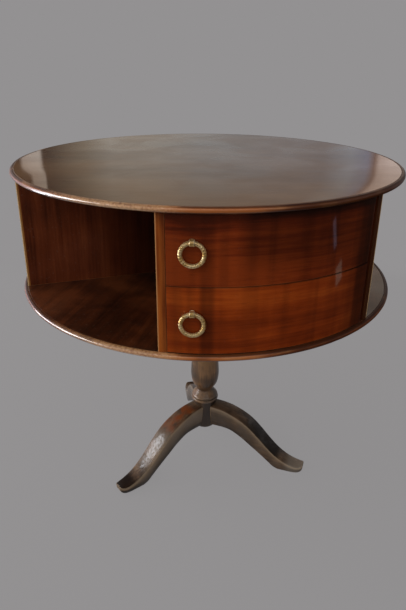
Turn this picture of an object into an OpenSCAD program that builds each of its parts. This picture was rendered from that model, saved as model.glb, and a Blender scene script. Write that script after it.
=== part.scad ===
// Revolving drum table on a turned column with three swept legs.
// Three open niches and three pairs of swing drawers alternate round the drum.
// Origin: the column's axis at floor level. +Z is up. The first pair of drawers faces -Y.

/* [Drum and boards] */
// Height of the table top above the floor
table_h = 735; // [700:5:780]
// Diameter of the drum at the drawer fronts
drum_d = 754; // [700:2:800]
// Clear height between the two round boards
drum_h = 226; // [190:2:260]
// Thickness of the table top
top_t = 10; // [9:0.5:16]
// How far the table top stands out past the drum
top_overhang = 8; // [6:0.5:14]
// Thickness of the lower board
shelf_t = 10; // [9:0.5:16]
// How far the lower board stands out past the drum
shelf_overhang = 8; // [6:0.5:14]
// Width of the half-round band that edges each board
edge_band = 7.5; // [6:0.5:12]

/* [Partitions and hub] */
// Angle between the middles of the two partitions beside a drawer
drawer_angle = 58.4; // [54:0.2:62]
// Thickness of a partition
partition_t = 14; // [10:0.5:18]
// Depth of the grooves in the boards that take the partitions
housing_depth = 3; // [2:0.5:4]
// Diameter of the post in the middle of the drum
hub_d = 80; // [70:2:96]
// Depth of the grooves in the post that take the partitions
hub_groove = 6; // [4:0.5:8]
// Thickness of the dust board between two drawers
dust_t = 6; // [4:0.5:8]

/* [Drawers] */
// Thickness of a drawer front
front_t = 18; // [15:0.5:24]
// Thickness of the drawer sides and back
side_t = 9; // [6:0.5:12]
// Thickness of a drawer bottom
bottom_t = 5; // [3:0.5:8]
// Gap above, between and below the drawer fronts
front_gap = 1.2; // [1:0.1:2]
// Gap between a drawer and the partition beside it
side_gap = 0.8; // [0.5:0.1:1.5]
// Gap under a drawer's bottom
run_gap = 0.5; // [0.3:0.1:0.8]
// Air above a drawer's sides
headroom = 6; // [4:0.5:12]
// Distance from the pivot to the front face and to the end of the front
pivot_inset = 11; // [8:0.5:13]
// Diameter of the iron rod that a pair of drawers turns on
rod_d = 6; // [5:0.5:8]
// Depth of the rod's holes in the boards
rod_seat = 6; // [4:0.5:7]

/* [Ring pulls] */
// Outer diameter of the ring
ring_d = 43; // [34:1:50]
// Thickness of the ring's round section
ring_wire = 7.6; // [5:0.2:9]
// Distance from the drawer's free end to the middle of the pull, along the front
pull_inset = 39.5; // [34:0.5:60]
// Height of the pull's eye above the middle of the front
pull_rise = 15; // [5:0.5:20]
// Width of the eye that holds the ring
eye_w = 8; // [4:0.5:10]
// Thickness of the metal round the eye's hole
eye_wall = 1.4; // [1.2:0.1:2.6]
// Play between the ring and its eye
eye_play = 0.3; // [0.2:0.05:0.6]
// Diameter of the eye's shank
shank_d = 4; // [3:0.5:5]

/* [Bearing] */
// Diameter of the iron spindle
spindle_d = 22; // [16:1:28]
// Length of the spindle inside the column
spindle_root = 100; // [60:5:140]
// Length of the spindle above the lower board
spindle_rise = 140; // [80:5:170]
// Diameter of the bearing block under the lower board
bearing_d = 240; // [160:5:300]
// Thickness of the bearing block
bearing_t = 24; // [18:1:36]
// Outer diameter of the brass washer that carries the drum
thrust_d = 74; // [50:2:84]
// Thickness of that washer
thrust_t = 2; // [1.5:0.5:4]
// Diameter of the screws in the bearing block
screw_d = 5; // [4:0.5:6]
// Diameter of the circle of screws
screw_circle_d = 180; // [120:5:220]
// Depth of the screws in the lower board
screw_bite = 7; // [5:0.5:8]

/* [Column] */
// Diameter of the block that the legs join
block_d = 57; // [50:1:70]
// How far the block hangs below the legs
block_drop = 8; // [4:1:16]
// How far the block stands above the legs
block_rise = 10; // [6:1:16]
// Radius of the block's rounded bottom edge
block_round = 7; // [3:1:10]
// Widest diameter of the bell above the block
bell_d = 63; // [58:1:72]
// Height of the bell, from the block to the neck
bell_h = 30; // [24:1:38]
// Diameter of the neck between the bell and the vase
neck_d = 40; // [34:1:46]
// Widest diameter of the vase
vase_d = 67; // [56:1:76]
// Diameter of the shaft at the top of the vase
shaft_d = 44; // [38:1:50]
// Diameter of the collar above the vase
collar_d = 54; // [50:1:60]
// Thickness of the collar
collar_h = 9; // [6:0.5:12]
// Height of the hollow between the collar and the head
cove_h = 40; // [30:1:50]
// Diameter of the column's flat head
head_d = 90; // [86:1:110]
// Thickness of the flat head
head_t = 9; // [6:1:14]

/* [Legs] */
// Distance from the axis to the tip of a toe
leg_reach = 254; // [230:2:290]
// Height of the top of a leg where it meets the block
leg_top = 139; // [130:1:142]
// Height of a leg's end against the block
leg_root_h = 56; // [50:1:62]
// Width of a leg
leg_w = 44; // [36:0.5:48]
// Direction of the first leg, turned from the first drawers
leg_turn = 51; // [0:1:119]
// Depth of the dovetail that holds a leg
dovetail_depth = 9; // [6:0.5:12]
// Width of the dovetail at its back
dovetail_w = 18; // [15:0.5:20]
// Width of the dovetail at its neck
dovetail_neck = 12; // [9:0.5:14]

/* [Hidden] */
$fn = 96;
// Radial clearance of a part that turns on a pin
fit = 0.05;
// Clearance round a part that is held fast
held = 0.1;
// Clearance between two flat faces that turn on each other
face_gap = 0.2;
// How far a cutting body runs past the face it cuts
past = 1;
// Length used to cut right through
far = 1000;
drum_r = drum_d / 2;
top_r = drum_r + top_overhang;
shelf_r = drum_r + shelf_overhang;
ceiling_z = table_h - top_t;
floor_z = ceiling_z - drum_h;
shelf_z = floor_z - shelf_t;
bearing_z = shelf_z - bearing_t;
thrust_z = bearing_z - face_gap - thrust_t;
middle_z = floor_z + drum_h / 2;
hub_r = hub_d / 2;
front_h = (drum_h - 3 * front_gap) / 2;
// The front dips past the dust board, which stays this far behind it
dust_setback = 1;
// The two partitions beside a drawer, as angles from +X
right_wall = -90 + drawer_angle / 2;
left_wall = -90 - drawer_angle / 2;
// The pivot, its angle and its place in the left partition's own frame
pivot_r = drum_r - pivot_inset;
pivot_a = right_wall - asin((partition_t / 2 + side_gap + pivot_inset) / pivot_r);
pivot = pivot_r * [cos(pivot_a), sin(pivot_a)];
pivot_along = pivot_r * cos(pivot_a - left_wall);
pivot_across = pivot_r * sin(pivot_a - left_wall);
// The back of a drawer is an arc round the pivot, so that it clears the left partition
swing_r = pivot_across - partition_t / 2 - side_gap;
// The front's inner corner sweeps this circle
sweep_r = sqrt(pow(pivot_inset, 2) + pow(front_t - pivot_inset, 2));
free_end = left_wall + asin((partition_t / 2 + side_gap) / drum_r);
pull_a = free_end + pull_inset / drum_r * 180 / PI;
ring_path = (ring_d - ring_wire) / 2;
ring_inner = ring_path - ring_wire / 2;
// How far the ring bends away over half the width of its eye, which the hole leaves room for
ring_bend = ring_inner - sqrt(pow(ring_inner, 2) - pow(eye_w / 2, 2));
eye_hole = ring_wire / 2 + ring_bend + eye_play;
eye_r = eye_hole + eye_wall;
// The eye's barrel touches the front
ring_off = eye_r;
plate_t = 1;
plate_d = 2 * eye_r;
burr_t = 1.5;
burr_rim = 2.5;
// Play above the washers, under the drawer fronts
washer_play = 0.3;
washer_t = front_gap - washer_play;
// The washers stay under the fronts, clear of the drawers' bottoms
washer_r = front_t - pivot_inset - side_gap;
hub_bore_roof = 5;
block_r = block_d / 2;
block_z = leg_top - leg_root_h - block_drop;
block_top = leg_top + block_rise;
// Round band between the block and the bell
bead_r = 0.15 * bell_h;
bell_r = bell_d / 2;
neck_r = neck_d / 2;
vase_r = vase_d / 2;
shaft_r = shaft_d / 2;
head_r = head_d / 2;
neck_z = block_top + bell_h;
head_z = thrust_z - head_t;
cove_z = head_z - cove_h;
collar_z = cove_z - collar_h;
// The vase fills what is left of the column's height
vase_h = collar_z - neck_z;
// Legs start inside the block's face and are cut to fit round it
leg_bury = 9;
leg_start = block_r - leg_bury;
// The dovetail runs this far into its leg
leg_weld = 0.5;

mahogany = [0.36, 0.14, 0.07];
dark_wood = [0.22, 0.11, 0.07];
pine = [0.62, 0.45, 0.28];
brass = [0.80, 0.66, 0.36];
iron = [0.25, 0.25, 0.26];

function mix(a, b, share) = a + share * (b - a);

// A smooth line through chosen points
function between(a, b, c, d, t) =
    0.5 * (2 * b + (c - a) * t + (2 * a - 5 * b + 4 * c - d) * t * t
    + (3 * b - a - 3 * c + d) * t * t * t);
function smooth(p, n) = [
    for (i = [0 : len(p) - 2])
        for (j = [0 : n - 1])
            between(p[max(i - 1, 0)], p[i], p[i + 1], p[min(i + 2, len(p) - 1)], j / n),
    p[len(p) - 1]
];
function arc_points(centre, r, from, to, n) = [
    for (i = [0 : n])
        centre + r * [cos(from + (to - from) * i / n), sin(from + (to - from) * i / n)]
];

// Everything on one side of a line through the axis at angle a, this far from it
module left_of(a, distance) {
    rotate(a) translate([-far, distance]) square([2 * far, far]);
}

module right_of(a, distance) {
    rotate(a) translate([-far, -far - distance]) square([2 * far, far]);
}

// The space between the two partitions beside a drawer
module wedge(inset) {
    intersection() {
        left_of(left_wall, partition_t / 2 + inset);
        right_of(right_wall, partition_t / 2 + inset);
        translate([0, -far]) square([2 * far, 2 * far], center = true);
    }
}

// A drawer's plan: it can turn out about the pivot without touching the partitions
module swing_plan(inset, r) {
    intersection() {
        wedge(side_gap + inset);
        circle(r);
        union() {
            rotate(left_wall) translate([pivot_along, -far]) square([far, 2 * far]);
            translate(pivot) circle(swing_r - inset);
        }
    }
}

module slab(z, h) {
    translate([0, 0, z]) linear_extrude(h) children();
}

module rod(z, h, r) {
    translate([0, 0, z]) cylinder(h = h, r = r);
}

// One partition, with the tongues that enter the boards and the post
module partition_body(a) {
    intersection() {
        rotate([0, 0, a])
            translate([hub_r - hub_groove, -partition_t / 2, floor_z - housing_depth])
                cube([far, partition_t, drum_h + 2 * housing_depth]);
        rod(floor_z - housing_depth, drum_h + 2 * housing_depth, drum_r);
    }
}

module all_partitions() {
    for (turn = [0, 120, 240]) {
        partition_body(left_wall + turn);
        partition_body(right_wall + turn);
    }
}

module at_pivots() {
    for (turn = [0, 120, 240])
        rotate([0, 0, turn]) translate([pivot[0], pivot[1], 0]) children();
}

module rod_holes() {
    at_pivots() rod(floor_z - rod_seat, drum_h + 2 * rod_seat, rod_d / 2 + held);
}

// A round board, between two radii, with a half-round outer edge where asked
module edge_ring(z, t, inner, outer) {
    translate([0, 0, z + t / 2]) rotate_extrude() {
        translate([inner, -t / 2]) square([outer - t / 2 - inner, t]);
        intersection() {
            translate([outer - t / 2, 0]) circle(t / 2);
            translate([outer - t / 2, -t / 2]) square([t, t]);
        }
    }
}

module top_board() {
    color(mahogany) difference() {
        rod(ceiling_z, top_t, top_r - edge_band);
        all_partitions();
        rod_holes();
    }
}

module top_board_edge() {
    color(mahogany) difference() {
        edge_ring(ceiling_z, top_t, top_r - edge_band, top_r);
        all_partitions();
        rod_holes();
    }
}

module lower_board() {
    color(mahogany) difference() {
        rod(shelf_z, shelf_t, shelf_r - edge_band);
        all_partitions();
        rod_holes();
        rod(shelf_z - past, shelf_t + 2 * past, spindle_d / 2 + fit);
        at_screws() rod(shelf_z - past, screw_bite + past, screw_d / 2 + held);
    }
}

module lower_board_edge() {
    color(mahogany) difference() {
        edge_ring(shelf_z, shelf_t, shelf_r - edge_band, shelf_r);
        all_partitions();
        rod_holes();
    }
}

module hub_post() {
    color(dark_wood) difference() {
        rod(floor_z, drum_h, hub_r);
        all_partitions();
        rod(floor_z - past, spindle_rise + hub_bore_roof + past, spindle_d / 2 + fit);
    }
}

module partition(a) {
    color(mahogany) partition_body(a);
}

// Shelf between an upper and a lower drawer, behind their fronts
module dust_board() {
    color(pine) slab(middle_z - dust_t / 2, dust_t) difference() {
        intersection() {
            wedge(held);
            circle(drum_r - front_t - dust_setback);
        }
        circle(hub_r + held);
        translate(pivot) circle(sweep_r + side_gap);
    }
}

module pivot_rods() {
    color(iron) at_pivots() rod(floor_z - rod_seat, drum_h + 2 * rod_seat, rod_d / 2);
}

// Washers under the upper and the lower drawer fronts
module pivot_washers() {
    color(brass) at_pivots() for (z = [floor_z, floor_z + front_gap + front_h])
        difference() {
            rod(z, washer_t, washer_r);
            rod(z - past, washer_t + 2 * past, rod_d / 2 + held);
        }
}

// Height of the underside of a drawer's front and of its box
function front_z(upper) = floor_z + front_gap + (upper ? front_h + front_gap : 0);
function box_z(upper) = (upper ? middle_z + dust_t / 2 : floor_z) + run_gap;
box_h = drum_h / 2 - dust_t / 2 - run_gap - headroom;
function eye_z(upper) = front_z(upper) + front_h / 2 + pull_rise;

module at_pull(upper) {
    rotate([0, 0, pull_a]) translate([drum_r + ring_off, 0, eye_z(upper)]) children();
}

// A round bar that points from the pull towards the axis, this far from the ring's middle
module inward(upper, start, length, r) {
    at_pull(upper) rotate([0, -90, 0]) translate([0, 0, start]) cylinder(h = length, r = r);
}

module drawer_front(upper) {
    color(mahogany) difference() {
        slab(front_z(upper), front_h) difference() {
            swing_plan(0, drum_r);
            circle(drum_r - front_t);
            // The corner beside the pivot is rounded, so that it turns in its place
            translate(pivot) rotate(right_wall) difference() {
                square(2 * pivot_inset);
                circle(pivot_inset);
            }
        }
        translate([pivot[0], pivot[1], 0]) rod(floor_z, drum_h, rod_d / 2 + fit);
        inward(upper, 0, ring_off + front_t + past, shank_d / 2 + held);
    }
}

module drawer_sides(upper) {
    color(pine) slab(box_z(upper) + bottom_t, box_h - bottom_t) difference() {
        swing_plan(0, drum_r - front_t);
        swing_plan(side_t, drum_r);
    }
}

module drawer_bottom(upper) {
    color(pine) slab(box_z(upper), bottom_t) swing_plan(0, drum_r - front_t);
}

// Brass eye on a round plate, with its shank riveted over inside the drawer
module pull_eye(upper) {
    color(brass) difference() {
        union() {
            at_pull(upper) rotate([90, 0, 0]) cylinder(h = eye_w, r = eye_r, center = true);
            inward(upper, ring_off - plate_t, plate_t, plate_d / 2);
            inward(upper, eye_hole, ring_off - eye_hole + front_t + held + burr_t, shank_d / 2);
            inward(upper, ring_off + front_t + held, burr_t, shank_d / 2 + burr_rim);
        }
        at_pull(upper) rotate([90, 0, 0]) cylinder(h = 4 * eye_w, r = eye_hole, center = true);
    }
}

module pull_ring(upper) {
    color(brass) at_pull(upper) translate([0, 0, -ring_path]) rotate([0, 90, 0])
        rotate_extrude() translate([ring_path, 0]) circle(ring_wire / 2);
}

module at_screws() {
    for (i = [0 : 3]) rotate([0, 0, 45 + 90 * i]) translate([screw_circle_d / 2, 0, 0]) children();
}

screw_head_h = screw_d / 2;

module bearing_block() {
    color(dark_wood) difference() {
        rod(bearing_z, bearing_t, bearing_d / 2);
        rod(bearing_z - past, bearing_t + 2 * past, spindle_d / 2 + fit);
        at_screws() {
            rod(bearing_z - past, bearing_t + 2 * past, screw_d / 2 + held);
            translate([0, 0, bearing_z])
                cylinder(h = screw_head_h, r1 = screw_d + held, r2 = screw_d / 2 + held);
        }
    }
}

module block_screws() {
    color(iron) at_screws() {
        rod(bearing_z, bearing_t + screw_bite - held, screw_d / 2);
        translate([0, 0, bearing_z]) cylinder(h = screw_head_h, r1 = screw_d, r2 = screw_d / 2);
    }
}

module spindle() {
    color(iron)
        rod(thrust_z - spindle_root, shelf_z + shelf_t + spindle_rise - thrust_z + spindle_root,
            spindle_d / 2);
}

module thrust_washer() {
    color(brass) difference() {
        rod(thrust_z, thrust_t, thrust_d / 2);
        rod(thrust_z - past, thrust_t + 2 * past, spindle_d / 2 + held);
    }
}

// Half outline of the turned column, from the floor side up
function column_outline() = concat(
    [[0, block_z]],
    arc_points([block_r - block_round, block_z + block_round], block_round, -90, 0, 6),
    [[block_r, block_top]],
    arc_points([block_r, block_top + bead_r], bead_r, -90, 90, 6),
    smooth([
        [mix(neck_r, bell_r, 0.9), mix(block_top, neck_z, 0.3)],
        [bell_r, mix(block_top, neck_z, 0.37)],
        [mix(neck_r, bell_r, 0.88), mix(block_top, neck_z, 0.48)],
        [mix(neck_r, bell_r, 0.48), mix(block_top, neck_z, 0.67)],
        [mix(neck_r, bell_r, 0.2), mix(block_top, neck_z, 0.83)],
        [neck_r, neck_z],
        [mix(neck_r, vase_r, 0.38), mix(neck_z, collar_z, 0.041)],
        [mix(neck_r, vase_r, 0.78), mix(neck_z, collar_z, 0.088)],
        [vase_r, mix(neck_z, collar_z, 0.16)],
        [mix(shaft_r, vase_r, 0.98), mix(neck_z, collar_z, 0.27)],
        [mix(shaft_r, vase_r, 0.55), mix(neck_z, collar_z, 0.56)],
        [mix(shaft_r, vase_r, 0.09), mix(neck_z, collar_z, 0.85)],
        [shaft_r, collar_z]
    ], 4),
    arc_points([(collar_d - collar_h) / 2, collar_z + collar_h / 2], collar_h / 2, -90, 90, 6),
    smooth([
        [shaft_r, mix(cove_z, head_z, 0.05)],
        [mix(shaft_r, head_r, 0.04), mix(cove_z, head_z, 0.39)],
        [mix(shaft_r, head_r, 0.5), mix(cove_z, head_z, 0.76)],
        [mix(shaft_r, head_r, 0.87), head_z]
    ], 4),
    [[head_r, head_z], [head_r, thrust_z], [0, thrust_z]]
);

module column() {
    color(dark_wood) difference() {
        rotate_extrude() polygon(column_outline());
        rod(thrust_z - spindle_root, spindle_root + past, spindle_d / 2 + held);
        for (turn = [0, 120, 240])
            rotate([0, 0, leg_turn - 90 + turn])
                slab(block_z - past, leg_top - block_z + past) dovetail(held);
    }
}

// Plan of the dovetail that enters the block, pointing along +X
module dovetail(play) {
    back = block_r - dovetail_depth;
    polygon([
        [back - play, -dovetail_w / 2 - play], [block_r + past, -dovetail_neck / 2 - play],
        [block_r + past, dovetail_neck / 2 + play], [back - play, dovetail_w / 2 + play]
    ]);
}

// Leg outlines are in shares of its run and of its height or half width
function leg_points(shares, high) = [
    for (s = shares) [mix(leg_start, leg_reach, s[0]), s[1] * high]
];
leg_upper = [
    [0, 1], [0.12, 0.985], [0.222, 0.942], [0.325, 0.87], [0.423, 0.77], [0.517, 0.626],
    [0.615, 0.453], [0.714, 0.302], [0.803, 0.205], [0.89, 0.15], [0.955, 0.138], [1, 0.16]
];
toe_under = [[1, 0.075], [0.98, 0.035], [0.945, 0.01], [0.89, 0]];
leg_under = [
    [0.75, 0], [0.7, 0.035], [0.65, 0.105], [0.556, 0.235], [0.444, 0.372], [0.329, 0.505]
];
leg_half_width = [
    [0, 0.86], [0.12, 0.9], [0.25, 0.97], [0.4, 1], [0.55, 1], [0.7, 0.93],
    [0.83, 0.86], [0.93, 0.78], [0.98, 0.62], [1, 0.45]
];

module leg_side() {
    root_z = leg_top - leg_root_h;
    polygon(concat(
        smooth(leg_points(leg_upper, leg_top), 3),
        smooth(leg_points(toe_under, leg_top), 3),
        smooth(concat(
            leg_points(leg_under, leg_top),
            [[mix(leg_start, leg_reach, 0.2), root_z], [leg_start, root_z]]
        ), 3)
    ));
}

module leg_plan() {
    side = smooth(leg_points(leg_half_width, leg_w / 2), 3);
    polygon(concat(side, [for (i = [len(side) - 1 : -1 : 0]) [side[i][0], -side[i][1]]]));
}

module leg(turn) {
    color(dark_wood) rotate([0, 0, leg_turn - 90 + turn]) {
        difference() {
            intersection() {
                rotate([90, 0, 0]) translate([0, 0, -leg_w]) linear_extrude(2 * leg_w) leg_side();
                slab(-past, leg_top + 2 * past) leg_plan();
            }
            rod(-past, leg_top + 2 * past, block_r + held);
        }
        slab(leg_top - leg_root_h, leg_root_h - held) intersection() {
            dovetail(0);
            circle(block_r + leg_weld);
        }
    }
}

// Drawer pieces are drawn for the first pair and turned to the others
module for_unit(i) {
    rotate([0, 0, 120 * i]) children();
}

column();
leg(0);  // leg_right
leg(120);  // leg_rear
leg(240);  // leg_left
spindle();
thrust_washer();
bearing_block();
block_screws();
lower_board();
lower_board_edge();
hub_post();
partition(left_wall);  // partition_a_left
partition(right_wall);  // partition_a_right
partition(left_wall + 120);  // partition_b_left
partition(right_wall + 120);  // partition_b_right
partition(left_wall + 240);  // partition_c_left
partition(right_wall + 240);  // partition_c_right
for_unit(0) dust_board();  // dust_board_a
for_unit(1) dust_board();  // dust_board_b
for_unit(2) dust_board();  // dust_board_c
pivot_rods();
pivot_washers();
top_board();
top_board_edge();
for_unit(0) drawer_front(true);  // upper_a_front
for_unit(0) drawer_sides(true);  // upper_a_sides
for_unit(0) drawer_bottom(true);  // upper_a_bottom
for_unit(0) pull_eye(true);  // upper_a_eye
for_unit(0) pull_ring(true);  // upper_a_ring
for_unit(0) drawer_front(false);  // lower_a_front
for_unit(0) drawer_sides(false);  // lower_a_sides
for_unit(0) drawer_bottom(false);  // lower_a_bottom
for_unit(0) pull_eye(false);  // lower_a_eye
for_unit(0) pull_ring(false);  // lower_a_ring
for_unit(1) drawer_front(true);  // upper_b_front
for_unit(1) drawer_sides(true);  // upper_b_sides
for_unit(1) drawer_bottom(true);  // upper_b_bottom
for_unit(1) pull_eye(true);  // upper_b_eye
for_unit(1) pull_ring(true);  // upper_b_ring
for_unit(1) drawer_front(false);  // lower_b_front
for_unit(1) drawer_sides(false);  // lower_b_sides
for_unit(1) drawer_bottom(false);  // lower_b_bottom
for_unit(1) pull_eye(false);  // lower_b_eye
for_unit(1) pull_ring(false);  // lower_b_ring
for_unit(2) drawer_front(true);  // upper_c_front
for_unit(2) drawer_sides(true);  // upper_c_sides
for_unit(2) drawer_bottom(true);  // upper_c_bottom
for_unit(2) pull_eye(true);  // upper_c_eye
for_unit(2) pull_ring(true);  // upper_c_ring
for_unit(2) drawer_front(false);  // lower_c_front
for_unit(2) drawer_sides(false);  // lower_c_sides
for_unit(2) drawer_bottom(false);  // lower_c_bottom
for_unit(2) pull_eye(false);  // lower_c_eye
for_unit(2) pull_ring(false);  // lower_c_ring
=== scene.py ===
import random
from math import asin, cos, exp, hypot, pi, radians, sin, sqrt
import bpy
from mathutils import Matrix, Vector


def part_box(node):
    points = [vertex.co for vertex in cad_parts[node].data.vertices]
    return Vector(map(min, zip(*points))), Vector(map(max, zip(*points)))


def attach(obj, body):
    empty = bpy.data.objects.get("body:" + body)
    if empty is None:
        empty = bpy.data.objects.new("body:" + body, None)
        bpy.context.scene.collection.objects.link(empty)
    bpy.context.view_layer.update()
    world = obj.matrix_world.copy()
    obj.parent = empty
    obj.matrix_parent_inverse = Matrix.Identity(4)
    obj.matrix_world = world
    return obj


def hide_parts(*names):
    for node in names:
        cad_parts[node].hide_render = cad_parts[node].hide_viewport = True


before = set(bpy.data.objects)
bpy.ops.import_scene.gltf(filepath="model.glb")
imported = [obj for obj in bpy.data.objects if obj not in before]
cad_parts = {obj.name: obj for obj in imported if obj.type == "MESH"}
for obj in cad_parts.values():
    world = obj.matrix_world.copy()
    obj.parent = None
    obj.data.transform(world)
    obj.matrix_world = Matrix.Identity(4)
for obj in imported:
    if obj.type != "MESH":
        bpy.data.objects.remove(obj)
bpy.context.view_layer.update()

from types import SimpleNamespace

import bmesh
import bpy
from mathutils import Matrix, Vector, noise

scene = bpy.context.scene
scene.view_settings.view_transform = "Standard"

# Sizes that several pieces share, in metres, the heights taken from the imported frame
table = {
    "drumRadius": 0.377,
    "boardRadius": 0.3849,
    "bandWidth": 0.0075,
    "leftWall": radians(-119.2),
    "rightWall": radians(-60.8),
    "wallThick": 0.014,
    "sideGap": 0.0008,
    "postRadius": 0.040,
    "floorZ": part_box("lower_board")[1].z,
    "ceilingZ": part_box("top_board")[0].z,
}
unitTurn = {"a": 0.0, "b": radians(120), "c": radians(240)}
weld = 1e-6    # points closer than this are one point


def polar(radius, angle, z=0.0):
    return Vector((radius * cos(angle), radius * sin(angle), z))


def smoothLine(points, steps):
    # a smooth line through chosen points, the same kind of line as the solids use
    line = []
    last = len(points) - 1
    for i in range(last):
        a, b = points[max(i - 1, 0)], points[i]
        c, d = points[i + 1], points[min(i + 2, last)]
        for j in range(steps):
            t = j / steps
            line.append(tuple(
                0.5 * (2 * b[k] + (c[k] - a[k]) * t
                       + (2 * a[k] - 5 * b[k] + 4 * c[k] - d[k]) * t * t
                       + (3 * b[k] - a[k] - 3 * c[k] + d[k]) * t ** 3)
                for k in range(len(b))))
    line.append(tuple(points[last]))
    return line


def arcLine(centre, radius, start, end, steps):
    return [(centre[0] + radius * cos(start + (end - start) * i / steps),
             centre[1] + radius * sin(start + (end - start) * i / steps)) for i in range(steps + 1)]


def markSharp(shape, limit=radians(32)):
    # smooth shading that stops at real edges
    for face in shape.faces:
        face.smooth = True
    for edge in shape.edges:
        if len(edge.link_faces) == 2 and edge.calc_face_angle(0.0) > limit:
            edge.smooth = False


def meshObject(name, shape, finish=None):
    mesh = bpy.data.meshes.new(name)
    shape.to_mesh(mesh)
    shape.free()
    if finish:
        mesh.materials.append(finish)
    made = bpy.data.objects.new(name, mesh)
    scene.collection.objects.link(made)
    return made


def addPiece(name, shape, finish, body, node):
    # a finished piece that rides on a body and stands in for one CAD node
    bmesh.ops.recalc_face_normals(shape, faces=shape.faces)
    markSharp(shape)
    piece = meshObject(name, shape, finish)
    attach(piece, body)
    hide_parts(node)


def lathe(outline, steps, loop, move=None):
    # turns (radius, height) points round the axis; move(radius, height, angle) may shift a point
    shape = bmesh.new()
    rings = []
    for i in range(steps):
        angle = 2 * pi * i / steps
        ring = []
        for radius, z in outline:
            if move and radius > weld:
                radius, z = move(radius, z, angle)
            ring.append(shape.verts.new(polar(radius, angle, z)))
        rings.append(ring)
    count = len(outline)
    for i in range(steps):
        here, there = rings[i], rings[(i + 1) % steps]
        for j in range(count if loop else count - 1):
            k = (j + 1) % count
            shape.faces.new((here[j], there[j], there[k], here[k]))
    bmesh.ops.remove_doubles(shape, verts=shape.verts, dist=weld)
    bmesh.ops.dissolve_degenerate(shape, edges=shape.edges, dist=0.1 * weld)
    return shape


def softenEdges(shape, width, steps=2, limit=radians(30), pick=None):
    edges = [e for e in shape.edges
             if len(e.link_faces) == 2 and e.calc_face_angle(0.0) > limit and (pick is None or pick(e))]
    bmesh.ops.bevel(shape, geom=edges, offset=width, offset_type="OFFSET", segments=steps,
                    profile=0.5, affect="EDGES", clamp_overlap=True)


def raisePlan(plan, low, high):
    # a flat outline raised into a board between two heights
    shape = bmesh.new()
    under = [shape.verts.new((x, y, low)) for x, y in plan]
    over = [shape.verts.new((x, y, high)) for x, y in plan]
    shape.faces.new(list(reversed(under)))
    shape.faces.new(over)
    for i in range(len(plan)):
        j = (i + 1) % len(plan)
        shape.faces.new((under[i], under[j], over[j], over[i]))
    return shape


def loft(rings, capped=True):
    # a skin over closed rings of the same number of points
    shape = bmesh.new()
    made = [[shape.verts.new(p) for p in ring] for ring in rings]
    count = len(rings[0])
    for here, there in zip(made, made[1:]):
        for j in range(count):
            k = (j + 1) % count
            shape.faces.new((here[j], there[j], there[k], here[k]))
    if capped:
        shape.faces.new(made[0])
        shape.faces.new(list(reversed(made[-1])))
    return shape


def addPart(shape, extra, place):
    # joins a second shape to the first, moved by a matrix
    extra.transform(place)
    mesh = bpy.data.meshes.new("joined")
    extra.to_mesh(mesh)
    extra.free()
    shape.from_mesh(mesh)
    bpy.data.meshes.remove(mesh)


def tone(red, green, blue):
    # a colour as it shows on a screen, 0 to 255, as the linear value that nodes want
    return tuple((v / 255 / 12.92) if v <= 10 else ((v / 255 + 0.055) / 1.055) ** 2.4
                 for v in (red, green, blue)) + (1.0,)


class NodeKit:
    # puts nodes into one tree; what a method hands back is the output that carries its result
    def __init__(self, tree):
        self.tree = tree

    def link(self, source, target):
        self.tree.links.new(source, target)

    def fill(self, made, inputs):
        for name, value in inputs.items():
            if isinstance(value, bpy.types.NodeSocket):
                self.link(value, made.inputs[name])
            else:
                made.inputs[name].default_value = value
        return made.outputs

    def add(self, kind, inputs=None, **settings):
        # any node, by its kind; hands back all its outputs
        made = self.tree.nodes.new("ShaderNode" + kind)
        for name, value in settings.items():
            setattr(made, name, value)
        return self.fill(made, inputs or {})

    def group(self, group, **inputs):
        made = self.tree.nodes.new("ShaderNodeGroup")
        made.node_tree = group
        return self.fill(made, inputs)

    def calc(self, operation, first, second=0.0, third=None, clamp=False):
        inputs = {0: first, 1: second}
        if third is not None:
            inputs[2] = third
        return self.add("Math", inputs, operation=operation, use_clamp=clamp)[0]

    def times(self, first, second):
        return self.calc("MULTIPLY", first, second)

    def minus(self, first, second):
        return self.calc("SUBTRACT", first, second)

    def size(self, value):
        return self.calc("ABSOLUTE", value)

    def addShare(self, base, value, share, clamp=False):
        # base and a share of value on top of it
        return self.calc("MULTIPLY_ADD", value, share, base, clamp)

    def ramp(self, value, low, high, fromLow=0.0, fromHigh=1.0):
        # value rescaled and held between two ends, with a soft start and finish
        return self.add("MapRange", {"Value": value, "From Min": low, "From Max": high,
                                     "To Min": fromLow, "To Max": fromHigh},
                        interpolation_type="SMOOTHSTEP", clamp=True)[0]

    def span(self, value, rise, fall):
        # one where value lies between the two slopes rise and fall
        return self.times(self.ramp(value, *rise), self.ramp(value, *fall))

    def mix(self, share, first, second, blend="MIX"):
        return self.add("Mix", {0: share, 6: first, 7: second}, data_type="RGBA", blend_type=blend)[2]

    def split(self, vector):
        return self.add("SeparateXYZ", {0: vector})

    def stretch(self, vector, factors):
        return self.add("VectorMath", {0: vector, 1: factors}, operation="MULTIPLY")[0]

    def noise(self, place, scale, detail, **more):
        return self.add("TexNoise", {"Vector": place, "Scale": scale, "Detail": detail, **more})[0]

    def upward(self):
        # how far the surface looks up, from -1 to 1
        return self.split(self.add("NewGeometry")["Normal"])[2]

    def reach(self, parts):
        # distance from the table's axis
        square = self.addShare(self.times(parts[1], parts[1]), parts[0], parts[0])
        return self.calc("SQRT", square)


def startGroup(name, inputs, outputs):
    tree = bpy.data.node_groups.new(name, "ShaderNodeTree")
    for label, kind, value in inputs:
        socket = tree.interface.new_socket(name=label, in_out="INPUT", socket_type="NodeSocket" + kind)
        if value is not None:
            socket.default_value = value
    for label, kind in outputs:
        tree.interface.new_socket(name=label, in_out="OUTPUT", socket_type="NodeSocket" + kind)
    return NodeKit(tree), tree.nodes.new("NodeGroupInput").outputs, tree.nodes.new("NodeGroupOutput").inputs


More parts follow.
